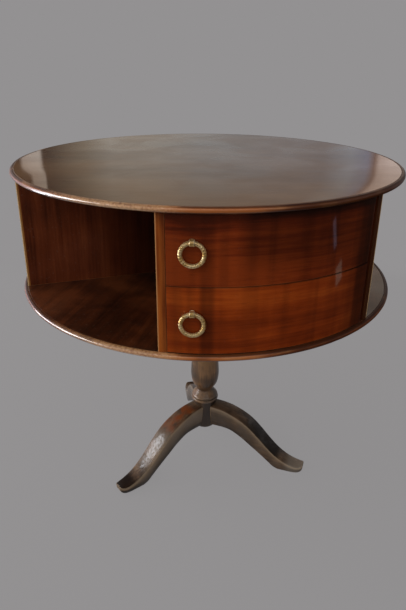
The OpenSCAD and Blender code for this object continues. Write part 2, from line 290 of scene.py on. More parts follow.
# Groups that several finishes use
def buildRoundGrain():
    # grain that follows the curve round the table's axis; nought lies in the middle of the first drawers
    kit, given, out = startGroup("grainRoundTheDrum", [("Position", "Vector", None)], [("Vector", "Vector")])
    parts = kit.split(given["Position"])
    angle = kit.calc("ARCTAN2", parts[0], kit.times(parts[1], -1.0))
    radius = kit.reach(parts)
    kit.link(kit.add("CombineXYZ", {0: kit.times(angle, radius), 1: parts[2], 2: radius})[0], out["Vector"])
    return kit.tree


def buildStraightGrain():
    # grain turned so that it runs along X: Turn is about Z, Stand moves the height to the grain's length
    kit, given, out = startGroup(
        "grainAlongTheBoard",
        [("Position", "Vector", None), ("Turn", "Float", 0.0), ("Stand", "Float", 0.0)],
        [("Vector", "Vector")])
    turned = kit.add("VectorRotate", {"Vector": given["Position"], "Angle": given["Turn"]},
                     rotation_type="Z_AXIS")[0]
    parts = kit.split(turned)
    upright = kit.add("CombineXYZ", {0: parts[2], 1: parts[0], 2: parts[1]})[0]
    kit.link(kit.add("Mix", {0: given["Stand"], 4: turned, 5: upright}, data_type="VECTOR")[1], out["Vector"])
    return kit.tree


# streaks are (density along the grain, density across it, detail); shares say how much each one counts
figureLook = {
    "bend": (7.0, 2.0), "push": (0.006, 0.010, 0.010), "rough": 0.55,
    "broad": (2.5, 55.0, 3.0), "middle": (7.0, 210.0, 3.0), "fine": (40.0, 900.0, 1.0),
    "broadShare": 0.52, "middleShare": 0.34, "fineShare": 0.14,
    "ribbon": (16.0, 11.0, 2.0), "cloud": (3.0, 5.0, 1.0),
    "bodyFrom": (0.36, 0.52), "brightFrom": (0.48, 0.66),
    "poresFrom": (0.60, 0.72), "poreTone": tone(18, 7, 4), "poreShare": 0.6, "relief": 0.4,
}


def buildWoodFigure():
    look = figureLook
    kit, given, out = startGroup(
        "woodFigure",
        [("Vector", "Vector", None), ("Deep", "Color", tone(60, 24, 12)), ("Body", "Color", tone(92, 38, 16)),
         ("Bright", "Color", tone(126, 58, 26)), ("Size", "Float", 1.0), ("Ribbon", "Float", 0.3),
         ("Cloud", "Float", 0.3), ("Lines", "Float", 1.0), ("Pores", "Float", 0.5)],
        [("Color", "Color"), ("Height", "Float")])
    scaled = kit.add("VectorMath", {0: given["Vector"], "Scale": given["Size"]}, operation="SCALE")[0]
    scale, detail = look["bend"]
    bend = kit.add("TexNoise", {"Vector": scaled, "Scale": scale, "Detail": detail})["Color"]
    pushed = kit.add("VectorMath", {0: bend, 1: look["push"], 2: scaled}, operation="MULTIPLY_ADD")[0]

    def streaks(name):
        along, across, detail = look[name]
        return kit.noise(kit.stretch(pushed, (along, across, across)), 1.0, detail, Roughness=look["rough"])

    middle, fine = streaks("middle"), streaks("fine")
    value = kit.times(streaks("broad"), look["broadShare"])
    value = kit.addShare(value, middle, look["middleShare"])
    value = kit.addShare(value, fine, look["fineShare"])
    value = kit.addShare(0.5, kit.minus(value, 0.5), given["Lines"])
    for name, share in (("ribbon", given["Ribbon"]), ("cloud", given["Cloud"])):
        value = kit.addShare(value, kit.minus(streaks(name), 0.5), share)
    colour = kit.mix(kit.ramp(value, *look["bodyFrom"]), given["Deep"], given["Body"])
    colour = kit.mix(kit.ramp(value, *look["brightFrom"]), colour, given["Bright"])
    pore = kit.times(kit.ramp(fine, *look["poresFrom"]), given["Pores"])
    kit.link(kit.mix(kit.times(pore, look["poreShare"]), colour, look["poreTone"]), out["Color"])
    kit.link(kit.minus(kit.times(middle, look["relief"]), pore), out["Height"])
    return kit.tree


# In both looks below, a noise is (scale, detail), and From says which values of it start and complete a mark
wearLook = {"samples": 4, "patch": (60.0, 3.0), "patchFrom": (0.35, 0.62), "edgeFrom": (0.995, 0.90)}


def buildEdgeWear():
    # how near a surface point is to an edge, broken up as rubbing breaks it
    look = wearLook
    kit, given, out = startGroup(
        "edgeWear",
        [("Position", "Vector", None), ("Width", "Float", 0.0015), ("Patchy", "Float", 0.5)],
        [("Mask", "Float")])
    rounded = kit.add("Bevel", {"Radius": given["Width"]}, samples=look["samples"])[0]
    plain = kit.add("NewGeometry")["Normal"]
    facing = kit.add("VectorMath", {0: rounded, 1: plain}, operation="DOT_PRODUCT")["Value"]
    patch = kit.ramp(kit.noise(given["Position"], *look["patch"]), *look["patchFrom"])
    kept = kit.minus(1.0, kit.times(kit.minus(1.0, patch), given["Patchy"]))
    kit.link(kit.times(kit.ramp(facing, *look["edgeFrom"]), kept), out["Mask"])
    return kit.tree


handlingLook = {
    "smear": (9.0, 4.0), "smearWaves": 0.6, "smearFrom": (0.35, 0.68),
    "speck": (240.0, 2.0), "speckFrom": (0.62, 0.74),
    "scratch": (1.0, 1.0), "scratchFrom": (0.66, 0.74), "scratchLie": (0.0, 0.0, 0.6),
    "scratchScale": (18.0, 420.0, 420.0),
}


def buildHandling():
    # smears left by hands and cloths, dust specks and fine scratches
    look = handlingLook
    kit, given, out = startGroup(
        "handlingMarks", [("Position", "Vector", None), ("Size", "Float", 1.0)],
        [("Smear", "Float"), ("Speck", "Float"), ("Scratch", "Float")])
    scaled = kit.add("VectorMath", {0: given["Position"], "Scale": given["Size"]}, operation="SCALE")[0]
    smear = kit.noise(scaled, *look["smear"], Distortion=look["smearWaves"])
    speck = kit.noise(scaled, *look["speck"])
    lay = {"Vector": scaled, "Rotation": look["scratchLie"], "Scale": look["scratchScale"]}
    scratch = kit.noise(kit.add("Mapping", lay)[0], *look["scratch"])
    for name, mark in (("smear", smear), ("speck", speck), ("scratch", scratch)):
        kit.link(kit.ramp(mark, *look[name + "From"]), out[name.capitalize()])
    return kit.tree


roundGrain = buildRoundGrain()
straightGrain = buildStraightGrain()
woodFigure = buildWoodFigure()
edgeWear = buildEdgeWear()
handling = buildHandling()
print("groups ready")


# What a wood has unless its own look says otherwise
plainWood = dict(
    turn=0.0, size=1.0, ribbon=0.3, cloud=0.3, lines=1.0, pores=0.5, bump=0.15, bumpDepth=0.0004,
    wear=0.6, wearWidth=0.0015, patchy=0.6, wearRough=0.12, wearDull=0.5, scratchRough=0.10,
    smear=0.12, smearRough=0.10, smearDull=0.25, speck=0.05, dust=tone(160, 150, 136),
    shine=0.5, polish=0.0, polishRough=0.06, polishBend=1.5)


def startFinish(name, roughness, metal=0.0):
    finish = bpy.data.materials.new(name)
    finish.use_nodes = True
    kit = NodeKit(finish.node_tree)
    shader = kit.tree.nodes["Principled BSDF"].inputs
    shader["Roughness"].default_value = roughness
    shader["Metallic"].default_value = metal
    return finish, kit, shader, kit.add("TexCoord")["Object"]


def connect(kit, shader, colour, roughness, height, strength, depth):
    kit.link(colour, shader["Base Color"])
    kit.link(roughness, shader["Roughness"])
    bump = kit.add("Bump", {"Height": height, "Strength": strength, "Distance": depth})
    kit.link(bump[0], shader["Normal"])


def woodFinish(name, look):
    # french-polished or stained wood; look holds the tones, the grain's lie and the wear
    finish, kit, shader, place = startFinish(name, look["roughness"])
    shader["Specular IOR Level"].default_value = look["shine"]
    shader["Coat Roughness"].default_value = look["polishRough"]
    shader["Coat IOR"].default_value = look["polishBend"]
    if look["grain"] == "round":
        lie = kit.group(roundGrain, Position=place)["Vector"]
    else:
        stand = 1.0 if look["grain"] == "upright" else 0.0
        lie = kit.group(straightGrain, Position=place, Turn=look["turn"], Stand=stand)["Vector"]
    figure = kit.group(
        woodFigure, Vector=lie, Deep=look["deep"], Body=look["body"], Bright=look["bright"],
        Size=look["size"], Ribbon=look["ribbon"], Cloud=look["cloud"], Lines=look["lines"],
        Pores=look["pores"])
    marks = kit.group(handling, Position=place)
    wear = kit.group(edgeWear, Position=place, Width=look["wearWidth"], Patchy=look["patchy"])["Mask"]
    smear, speck, scratch = (marks[k] for k in ("Smear", "Speck", "Scratch"))
    colour, rough = figure["Color"], look["roughness"]
    for mark, share, paint in ((wear, "wear", "worn"), (smear, "smear", "film"), (speck, "speck", "dust")):
        colour = kit.mix(kit.times(mark, look[share]), colour, look[paint])
    for mark, share in ((smear, "smearRough"), (wear, "wearRough"), (scratch, "scratchRough")):
        rough = kit.addShare(rough, mark, look[share])
    connect(kit, shader, colour, rough, figure["Height"], look["bump"], look["bumpDepth"])
    polish = kit.addShare(1.0, smear, -look["smearDull"])
    polish = kit.addShare(polish, wear, -look["wearDull"], clamp=True)
    kit.link(kit.times(polish, look["polish"]), shader["Coat Weight"])
    return SimpleNamespace(finish=finish, kit=kit, shader=shader, place=place, colour=colour, wear=wear,
                           smear=smear)


# Finishes
topLook = dict(
    plainWood, grain="flat", turn=radians(19), roughness=0.35, size=0.8, ribbon=0.2, cloud=0.6, lines=0.35,
    deep=tone(78, 52, 34), body=tone(98, 68, 44), bright=tone(116, 84, 56), worn=tone(150, 104, 70),
    film=tone(108, 82, 58), smear=0.15, smearRough=0.04, wear=0.5, bump=0.02, speck=0.0, shine=0.1,
    polish=1.0, polishRough=0.045, pores=0.25)
topFinish = woodFinish("polishedTop", topLook).finish

shelfLook = dict(
    plainWood, grain="flat", turn=radians(-55), roughness=0.40, size=0.9, ribbon=0.5, cloud=0.7, lines=0.5,
    deep=tone(26, 11, 5), body=tone(52, 23, 10), bright=tone(84, 41, 19), worn=tone(120, 78, 50),
    film=tone(76, 52, 36), smear=0.12, smearRough=0.06, wear=0.5, bump=0.03, shine=0.08,
    polish=0.7, polishRough=0.09)
shelfFinish = woodFinish("lowerBoardWood", shelfLook).finish

# The half-round edges. A run is in metres along the edge, nought in front of the middle of the drawers;
# pairs say where a change starts and where it is complete.
bandLook = dict(
    plainWood, grain="round", roughness=0.35, size=1.2, ribbon=0.3, cloud=0.2, lines=0.7,
    deep=tone(84, 38, 14), body=tone(122, 62, 26), bright=tone(150, 86, 40), worn=tone(186, 136, 92),
    film=tone(130, 84, 52), smear=0.10, wear=0.3, bump=0.05, shine=0.1,
    polish=1.0, polishRough=0.17, polishBend=2.3,
    patchLength=(14.0, 60.0, 0.0), patchDetail=4.0, patchFrom=(0.50, 0.70), patchShare=0.35,
    dirtFrom=(0.47, 0.30), dirtShare=0.45, crumbs=(260.0, 3.0), crumbsFrom=(0.30, 0.66, 0.35, 0.9),
    # painted shade: the edge's faces that look up or down are darkened, less where rubbed pale
    upDownShadeFacing=((0.45, 0.85), (-0.2, -0.7)), upDownShadeRubbed=(0.0, 0.5, 0.8, 0.25), highlightFrom=(0.44, 0.64),
    handledRun=((-0.44, -0.30), (-0.14, -0.22)), handled=tone(196, 150, 104),
    warmRun=((-0.24, -0.16), (-0.01, -0.07)), warm=tone(176, 100, 44), warmShare=0.75,
    # painted shade on the drawers' far side uses the same dark colour as the patchy dirt
    farSideShadeRun=(-0.06, 0.01), dirtAndFarShade=tone(48, 20, 8), upDownShade=tone(52, 26, 14),
    # painted highlight: a pale line along the upper part of the edge at the front
    highlightUp=((0.02, 0.2), (0.62, 0.4)), highlightRun=((-0.34, -0.22), (0.12, 0.0)), line=tone(206, 138, 74),
    highlightShare=0.3, dullRun=(-0.25, -0.13), dullShine=0.25, endRun=(-0.06, 0.03),
    cornerRun=(-0.46, -0.36), cornerShine=(0.7, 1.15), lastRun=(0.10, 0.19), lastShine=0.3)


def bandFinish(name, farSideShade, endShine):
    # rubbed pale where hands go, orange next to that, patchy dirt, and painted shade that darkens the
    # drawers' far side
    look = bandLook
    wood = woodFinish(name, look)
    kit = wood.kit
    lie = kit.group(roundGrain, Position=wood.place)["Vector"]
    run = kit.split(lie)[0]
    patches = kit.noise(kit.stretch(lie, look["patchLength"]), 1.0, look["patchDetail"])
    flaked = kit.ramp(kit.noise(wood.place, *look["crumbs"]), *look["crumbsFrom"])
    rubbed = kit.times(kit.ramp(patches, *look["patchFrom"]), look["patchShare"])
    rubbed = kit.addShare(rubbed, kit.span(run, *look["handledRun"]), flaked, clamp=True)
    warm = kit.times(kit.span(run, *look["warmRun"]), look["warmShare"])
    colour = kit.mix(warm, wood.colour, look["warm"])
    colour = kit.mix(rubbed, colour, look["handled"])
    dirtAndFarShade = kit.times(kit.ramp(patches, *look["dirtFrom"]), look["dirtShare"])
    # painted shade: the edge darkens towards the drawers' far side, on top of the patchy dirt
    dirtAndFarShade = kit.calc("MAXIMUM", dirtAndFarShade, kit.times(kit.ramp(run, *look["farSideShadeRun"]), farSideShade))
    colour = kit.mix(dirtAndFarShade, colour, look["dirtAndFarShade"])
    # painted shade below and a painted dark reflection above: faces that look down or up are darkened
    upward = kit.upward()
    away = kit.calc("MAXIMUM", *(kit.ramp(upward, *ups) for ups in look["upDownShadeFacing"]))
    away = kit.times(away, kit.ramp(rubbed, *look["upDownShadeRubbed"]))
    colour = kit.mix(away, colour, look["upDownShade"])
    # painted highlight along the edge's upper part at the front, broken by the patches
    line = kit.times(kit.span(upward, *look["highlightUp"]), kit.span(run, *look["highlightRun"]))
    line = kit.times(line, kit.ramp(patches, *look["highlightFrom"], 0.0, look["highlightShare"]))
    kit.link(kit.mix(line, colour, look["line"]), wood.shader["Base Color"])
    polish = look["polish"]
    for place, shine in (("dull", (1.0, look["dullShine"])), ("end", (1.0, endShine)),
                         ("corner", look["cornerShine"]), ("last", (1.0, look["lastShine"]))):
        polish = kit.times(kit.ramp(run, *look[place + "Run"], *shine), polish)
    kit.link(polish, wood.shader["Coat Weight"])
    return wood.finish


# the first number sets the painted shade on the drawers' far side
upperEdgeFinish = bandFinish("upperEdgeWood", 0.7, 0.6)
lowerEdgeFinish = bandFinish("lowerEdgeWood", 0.35, 0.3)


def drawerTurn(kit, parts):
    # the angle from the middle of the nearest pair of drawers
    angle = kit.calc("ARCTAN2", parts[1], parts[0])
    local = kit.minus(kit.calc("WRAP", angle, radians(60), radians(-60)), radians(30))
    return kit.calc("WRAP", local, radians(60), radians(-60))


def turnRamp(kit, turn, low, high, *ends):
    return kit.ramp(turn, radians(low), radians(high), *ends)


# Drawer fronts. Turns are degrees from the drawer's middle, depths are metres below the front's top.
upperLook = dict(
    plainWood, grain="round", roughness=0.35, ribbon=0.35, cloud=0.8, lines=0.95,
    deep=tone(68, 22, 7), body=tone(106, 37, 11), bright=tone(136, 55, 17), worn=tone(150, 98, 62),
    film=tone(104, 46, 18), smear=0.08, bump=0.04, speck=0.02, shine=0.06, polish=0.7,
    # painted shade: the fronts darken towards this colour by the turns and depths below
    shade=tone(36, 13, 6), shadeDepth=0.012, pivotShadeTurn=(14, 22), near=0.2, pivotEdgeShadeTurn=(20.5, 22.5), end=0.5,
    # painted shade high on the upper front, below the top board
    upperShadeTurn=((-13, -8), (24, 13)), upperShadeDepth=(0.11, 0.05), upperShade=0.5,
    stripeTurn=-18.7, stripeWidth=(2.4, 0.8), stripe=0.30, freeTurn=(-17, -24), free=0.22,
    # painted reflection in upright bands, and the painted shadow along the front's upper edge
    reflectionBands=16.0, reflectionBandStep=3.0, reflectionBandFrom=(0.42, 0.66), band=0.22, underShadowTurn=(-16, 0), under=(0.15, 0.6))
lowerLook = dict(upperLook, deep=tone(108, 38, 8), body=tone(140, 54, 12), bright=tone(168, 74, 20),
                 lines=0.7, film=tone(130, 62, 20), shadeDepth=0.003, upperShade=0.0, near=0.25)


def frontFinish(level, look):
    # painted shade on the veneer: darker towards the end that the drawer turns on, high up under the top
    # board and along its upper edge, with upright bands of painted reflection, a dark stripe and a darker
    # free end
    wood = woodFinish(level + "FrontWood", look)
    kit = wood.kit
    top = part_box(level + "_a_front")[1].z
    parts = kit.split(wood.place)
    turn = drawerTurn(kit, parts)
    # painted shade towards the end that the drawer turns on
    shade = kit.times(turnRamp(kit, turn, *look["pivotShadeTurn"]), look["near"])
    shade = kit.addShare(shade, turnRamp(kit, turn, *look["pivotEdgeShadeTurn"]), look["end"])
    # painted shade: a darker patch high on the front, under the top board
    upperShadeStart, upperShadeEnd = look["upperShadeTurn"]
    upperShade = kit.times(turnRamp(kit, turn, *upperShadeStart), turnRamp(kit, turn, *upperShadeEnd))
    upperShade = kit.times(upperShade, kit.ramp(parts[2], *(top - depth for depth in look["upperShadeDepth"])))
    shade = kit.addShare(shade, upperShade, look["upperShade"])
    fromStripe = kit.size(kit.calc("ADD", turn, radians(-look["stripeTurn"])))
    shade = kit.addShare(shade, turnRamp(kit, fromStripe, *look["stripeWidth"]), look["stripe"])
    shade = kit.addShare(shade, turnRamp(kit, turn, *look["freeTurn"]), look["free"])
    # painted reflection: soft upright bands, darker between the room's reflected streaks
    across = kit.add("CombineXYZ", {0: kit.times(turn, look["reflectionBands"]), 1: top * look["reflectionBandStep"]})[0]
    shade = kit.addShare(shade, kit.ramp(kit.noise(across, 1.0, 2.0), *look["reflectionBandFrom"]), look["band"])
    # painted shadow of the board above, along the front's upper edge
    under = kit.times(kit.ramp(parts[2], top - look["shadeDepth"], top),
                      turnRamp(kit, turn, *look["underShadowTurn"], *look["under"]))
    shade = kit.calc("ADD", under, shade, clamp=True)
    kit.link(kit.mix(shade, wood.colour, look["shade"]), wood.shader["Base Color"])
    return wood.finish


frontFinishes = {"upper": frontFinish("upper", upperLook), "lower": frontFinish("lower", lowerLook)}

# Partitions. Radii and heights are in metres, turns in degrees from the middle of the nearest drawers.
wallLook = dict(
    plainWood, grain="upright", roughness=0.40, ribbon=0.2, cloud=0.4, lines=0.7,
    deep=tone(62, 25, 10), body=tone(92, 40, 18), bright=tone(114, 56, 28), worn=tone(176, 128, 84),
    film=tone(92, 48, 25), smear=0.10, wear=0.35, wearWidth=0.002, bump=0.05, shine=0.06,
    polish=0.45, polishRough=0.12,
    grainLength=(160.0, 160.0, 9.0), grainFrom=(0.32, 0.66),
    edgeDark=tone(114, 51, 14), edgeLight=tone(156, 83, 29),
    endRadius=(0.3735, 0.3755), besideDrawer=tone(84, 34, 11), besideTurn=(29.6, 28.4), besideShare=0.55,
    # painted shade just under the top board
    shadeUnderTop=tone(60, 26, 10), shadeUnderTopHigh=0.03, shadeUnderTopShare=0.7,
    # the end on the drawers' far side: mostly painted shade, partly darker wood
    farShadeTurn=(20, 28), farEndShade=tone(52, 26, 12), farShadeShare=0.8, footHigh=(0.004, 0.012),
    # painted shade deep in the niche, towards the post
    nicheShadeRadius=(0.27, 0.14), nicheShade=tone(26, 9, 4), nicheShadeShare=0.7,
    nicheTurn=(29.7, 30.05), nicheWear=(0.1, 0.8), outsideTurn=(29.9, 30.15), otherSideTurn=(-5, 5),
    cornerRadius=(0.3715, 0.3745), corner=(tone(140, 84, 38), tone(172, 116, 58)),
    goldRadius=(0.3745, 0.3765), gold=(tone(178, 124, 78), tone(238, 198, 142)))


def partitionFinish():
    # dark sides, and an orange-brown end at the drum's face, with painted shade under the top board, on the
    # drawers' far side and deep in the niche
    look = wallLook
    wood = woodFinish("partitionWood", look)
    kit = wood.kit
    parts = kit.split(wood.place)
    height, radius = parts[2], kit.reach(parts)
    turn = drawerTurn(kit, parts)
    aside = kit.size(turn)
    grain = kit.noise(kit.stretch(wood.place, look["grainLength"]), 1.0, 3.0)
    edge = kit.mix(kit.ramp(grain, *look["grainFrom"]), look["edgeDark"], look["edgeLight"])
    beside = turnRamp(kit, aside, *look["besideTurn"], 0.0, look["besideShare"])
    edge = kit.mix(beside, edge, look["besideDrawer"])
    # painted shade on the partition's end just under the top board
    ceiling = table["ceilingZ"]
    near = kit.ramp(height, ceiling - look["shadeUnderTopHigh"], ceiling, 0.0, look["shadeUnderTopShare"])
    edge = kit.mix(near, edge, look["shadeUnderTop"])
    # mostly painted shade, partly darker wood: the end on the drawers' far side is darkened
    edge = kit.mix(turnRamp(kit, turn, *look["farShadeTurn"], 0.0, look["farShadeShare"]), edge, look["farEndShade"])
    wear = kit.times(wood.wear, kit.ramp(height, *(table["floorZ"] + rise for rise in look["footHigh"])))
    wear = kit.times(wear, turnRamp(kit, aside, *look["nicheTurn"], *look["nicheWear"]))
    edge = kit.mix(wear, edge, look["worn"])
    # painted shade: the sides darken deep in the niche, towards the post
    deep = kit.ramp(radius, *look["nicheShadeRadius"], 0.0, look["nicheShadeShare"])
    colour = kit.mix(deep, wood.colour, look["nicheShade"])
    outside = turnRamp(kit, aside, *look["outsideTurn"])
    otherSide = turnRamp(kit, turn, *look["otherSideTurn"])

    def strip(colour, name):
        # a rubbed upright strip on the niche's side
        share = kit.times(outside, kit.ramp(radius, *look[name + "Radius"]))
        return kit.mix(share, colour, kit.mix(otherSide, *look[name]))

    colour = strip(colour, "corner")
    colour = kit.mix(kit.ramp(radius, *look["endRadius"]), colour, edge)
    kit.link(strip(colour, "gold"), wood.shader["Base Color"])
    return wood.finish


wallFinish = partitionFinish()

# Column. Heights are above the floor; a groove's painted shade is (height, reach, share).
columnLook = dict(
    plainWood, grain="upright", roughness=0.40, size=1.3, ribbon=0.8, cloud=0.8, lines=0.85,
    deep=tone(44, 26, 12), body=tone(90, 59, 32), bright=tone(146, 104, 62), worn=tone(190, 150, 104),
    film=tone(140, 114, 88), smear=0.30, wearWidth=0.002, bump=0.2, speck=0.06,
    shine=0.3, polish=0.5, polishRough=0.16)
turningLook = dict(
    bellHigh=((0.148, 0.151), (0.182, 0.172)), bell=tone(108, 88, 68), bellShare=0.5,
    blockHigh=(0.1505, 0.1475), block=tone(48, 38, 31), blockShare=0.85,
    # painted shade in the neck and in the groove above the bead
    grooves=((0.1795, 0.006, 0.5), (0.1583, 0.0022, 0.8)), groove=tone(44, 30, 20),
    ringHigh=((0.147, 0.150), (0.172, 0.160)), ringShine=0.5)


def turnedFinish():
    # the turning is greyer at the bell and darker on the leg block, with painted shade in the neck and in the
    # groove above the bead
    look = turningLook
    wood = woodFinish("columnWood", columnLook)
    kit = wood.kit
    height = kit.split(wood.place)[2]
    bell = kit.times(kit.span(height, *look["bellHigh"]), look["bellShare"])
    colour = kit.mix(bell, wood.colour, look["bell"])
    colour = kit.mix(kit.ramp(height, *look["blockHigh"], 0.0, look["blockShare"]), colour, look["block"])
    # painted shade in the neck and the groove above the bead
    for level, reach, share in look["grooves"]:
        away = kit.size(kit.minus(height, level))
        colour = kit.mix(kit.ramp(away, reach, 0.2 * reach, 0.0, share), colour, look["groove"])
    kit.link(colour, wood.shader["Base Color"])
    ring = kit.span(height, *look["ringHigh"])
    kit.link(kit.addShare(columnLook["polish"], ring, look["ringShine"]), wood.shader["Coat Weight"])
    return wood.finish


columnFinish = turnedFinish()

# Legs. Runs are metres from the table's axis along the leg, ups say how far the surface looks up.
legLook = dict(
    columnLook, grain="flat", roughness=0.35, smear=0.18, shine=0.2, polish=0.9, polishRough=0.12, cloud=0.7,
    deep=tone(32, 21, 14), body=tone(66, 47, 34), bright=tone(108, 82, 60),
    # painted shade on the middle of the top, used on the right leg
    topUp=(0.35, 0.65), rubbedSoft=0.02, toeRun=(0.205, 0.225), midShadeRun=((0.11, 0.14), (0.205, 0.185)),
    # painted light on the leg's sides
    midShadeUp=(0.4, 0.7), mid=tone(28, 20, 15), litSideUp=(0.3, 0.1), side=tone(128, 108, 88),
    # painted shade on the faces that look down, and a pale line at the arris that is wear and painted
    # highlight
    undersideShadeUp=(-0.02, -0.16), low=tone(30, 22, 16), arrisHighlightUp=(-0.06, 0.22), line=tone(160, 139, 114), highlightShare=0.6,
    blots=(38.0, 4.0), blotsFrom=(0.36, 0.6), blotDullFrom=(0.44, 0.60), blotDull=0.45,
    toeDull=0.8, midDull=0.6, lowDull=0.7, halfAcross=(-0.006, 0.010),
    crackle=(210.0, 3.0), crackleFrom=(0.41, 0.55), crackleShine=(0.3, 1.2))
# What differs from leg to leg: a rubbed place on top, the toe, the painted shade in the middle of the top,
# the painted light on the sides and the painted shade below them, the arris line and the polish
legMarks = dict(rubbed=tone(84, 58, 38), start=0.05, end=0.12, rubbedShare=0.4, toe=0.0, toeTop=1.0,
                toeTone=tone(24, 15, 11), midShadeShare=0.0, litSideShare=0.25, undersideShadeShare=0.45, arrisHighlightTop=0.7,
                rubbedDull=0.3, halfDull=0.0)
legPatches = {
    "right": dict(legMarks, rubbed=tone(96, 74, 56), start=0.02, end=0.10, rubbedShare=0.7, toe=0.6,
                  toeTone=tone(168, 156, 142), toeTop=0.6, midShadeShare=0.9),
    "rear": legMarks,
    # the left leg's dark toe is painted shade
    "left": dict(legMarks, rubbed=tone(112, 54, 18), start=0.040, end=0.115, rubbedShare=0.95, toe=0.9,
                 litSideShare=0.9, undersideShadeShare=0.7, arrisHighlightTop=0.95, rubbedDull=1.0, halfDull=0.25),
}


def legFinish(side, turn):
    # grain along the leg, a pale line along its arris that is wear and painted highlight, painted light on
    # its sides, painted shade on its underside and on the right leg's top
    look, patch = legLook, legPatches[side]
    wood = woodFinish(side + "LegWood", dict(look, turn=-turn))
    kit = wood.kit
    lie = kit.group(straightGrain, Position=wood.place, Turn=-turn, Stand=0.0)["Vector"]
    run, across = kit.split(lie)[:2]
    upward = kit.upward()
    topSide = kit.ramp(upward, *look["topUp"])
    soft = look["rubbedSoft"]
    rubbed = kit.span(run, (patch["start"] - 0.6 * soft, patch["start"] + soft),
                      (patch["end"] + soft, patch["end"] - soft))
    rubbed = kit.times(rubbed, topSide)
    cloud = kit.noise(wood.place, *look["blots"])
    share = kit.times(kit.times(rubbed, kit.ramp(cloud, *look["blotsFrom"])), patch["rubbedShare"])
    # the toe's tone; on the left leg it is painted shade
    toe = kit.times(kit.ramp(run, *look["toeRun"]), patch["toe"])
    toe = kit.times(toe, kit.ramp(upward, *look["topUp"], 1.0, patch["toeTop"]))
    # painted shade on the middle of the right leg's top
    mid = kit.times(kit.span(run, *look["midShadeRun"]), kit.ramp(upward, *look["midShadeUp"]))
    mid = kit.times(mid, patch["midShadeShare"])
    # painted light: the sides of the leg are lightened, most on the left leg
    litFlank = kit.ramp(kit.size(upward), *look["litSideUp"], 0.0, patch["litSideShare"])
    # painted shade on the faces that look down
    low = kit.ramp(upward, *look["undersideShadeUp"], 0.0, patch["undersideShadeShare"])
    # a pale line just below the arris: worn edge and painted highlight
    line = kit.times(kit.span(upward, look["arrisHighlightUp"], (patch["arrisHighlightTop"], 0.45)), look["highlightShare"])
    colour = wood.colour
    for amount, paint in ((share, patch["rubbed"]), (toe, patch["toeTone"]), (mid, look["mid"]),
                          (litFlank, look["side"]), (low, look["low"]), (line, look["line"])):
        colour = kit.mix(amount, colour, paint)
    kit.link(colour, wood.shader["Base Color"])

    polish = kit.addShare(1.0, rubbed, -patch["rubbedDull"])
    polish = kit.minus(polish, kit.ramp(across, *look["halfAcross"], 0.0, patch["halfDull"]))
    blots = kit.times(kit.ramp(cloud, *look["blotDullFrom"]), -look["blotDull"])
    polish = kit.calc("ADD", polish, blots, clamp=True)
    for amount, name in ((toe, "toe"), (mid, "mid"), (low, "low")):
        polish = kit.addShare(polish, amount, -look[name + "Dull"])
    crackle = kit.noise(wood.place, *look["crackle"])
    polish = kit.times(polish, kit.ramp(crackle, *look["crackleFrom"], *look["crackleShine"]))
    polish = kit.addShare(polish, wood.smear, -look["smearDull"], clamp=True)
    kit.link(kit.times(polish, look["polish"]), wood.shader["Coat Weight"])
    return wood.finish


liningLook = dict(
    plainWood, grain="flat", roughness=0.62, size=0.8, ribbon=0.2, cloud=0.15,
    deep=tone(126, 92, 58), body=tone(156, 120, 80), bright=tone(180, 146, 102), worn=tone(196, 166, 124),
    film=tone(132, 104, 72), smear=0.14, wear=0.4, bump=0.2, speck=0.04)
liningFinish = woodFinish("drawerLining", liningLook).finish
hiddenLook = dict(columnLook, roughness=0.6,
                  deep=tone(46, 26, 16), body=tone(70, 42, 26), bright=tone(92, 60, 38))
hiddenFinish = woodFinish("bearingWood", hiddenLook).finish


# What both metals share
plainMetal = dict(metal=0.85, wear=0.7, wearWidth=0.0012, patchy=0.4, smear=0.35, smearRough=0.14,
                  scratchRough=0.15, bump=0.12, bumpDepth=0.0003, cloudDetail=4.0, cloudFrom=(0.34, 0.68))


def metalFinish(name, look):
    finish, kit, shader, place = startFinish(name, look["roughness"], look["metal"])
    marks = kit.group(handling, Position=place, Size=look["size"])
    wear = kit.group(edgeWear, Position=place, Width=look["wearWidth"], Patchy=look["patchy"])["Mask"]
    cloud = kit.noise(place, look["cloud"], look["cloudDetail"])
    colour = kit.mix(kit.ramp(cloud, *look["cloudFrom"]), look["dark"], look["body"])
    colour = kit.mix(kit.times(marks["Smear"], look["smear"]), colour, look["tarnish"])
    colour = kit.mix(kit.times(wear, look["wear"]), colour, look["bright"])
    rough = kit.addShare(look["roughness"], marks["Smear"], look["smearRough"])
    rough = kit.addShare(rough, marks["Scratch"], look["scratchRough"])
    connect(kit, shader, colour, rough, cloud, look["bump"], look["bumpDepth"])
    return finish


brassFinish = metalFinish("ringBrass", dict(
    plainMetal, roughness=0.27, size=4.0, cloud=130.0,
    dark=tone(208, 168, 98), body=tone(252, 228, 174), bright=tone(255, 248, 222),
    tarnish=tone(164, 126, 70)))
ironFinish = metalFinish("forgedIron", dict(
    plainMetal, roughness=0.48, size=2.0, cloud=90.0,
    dark=tone(44, 42, 41), body=tone(84, 82, 80), bright=tone(140, 138, 134), tarnish=tone(70, 48, 34)))
print("finishes ready")

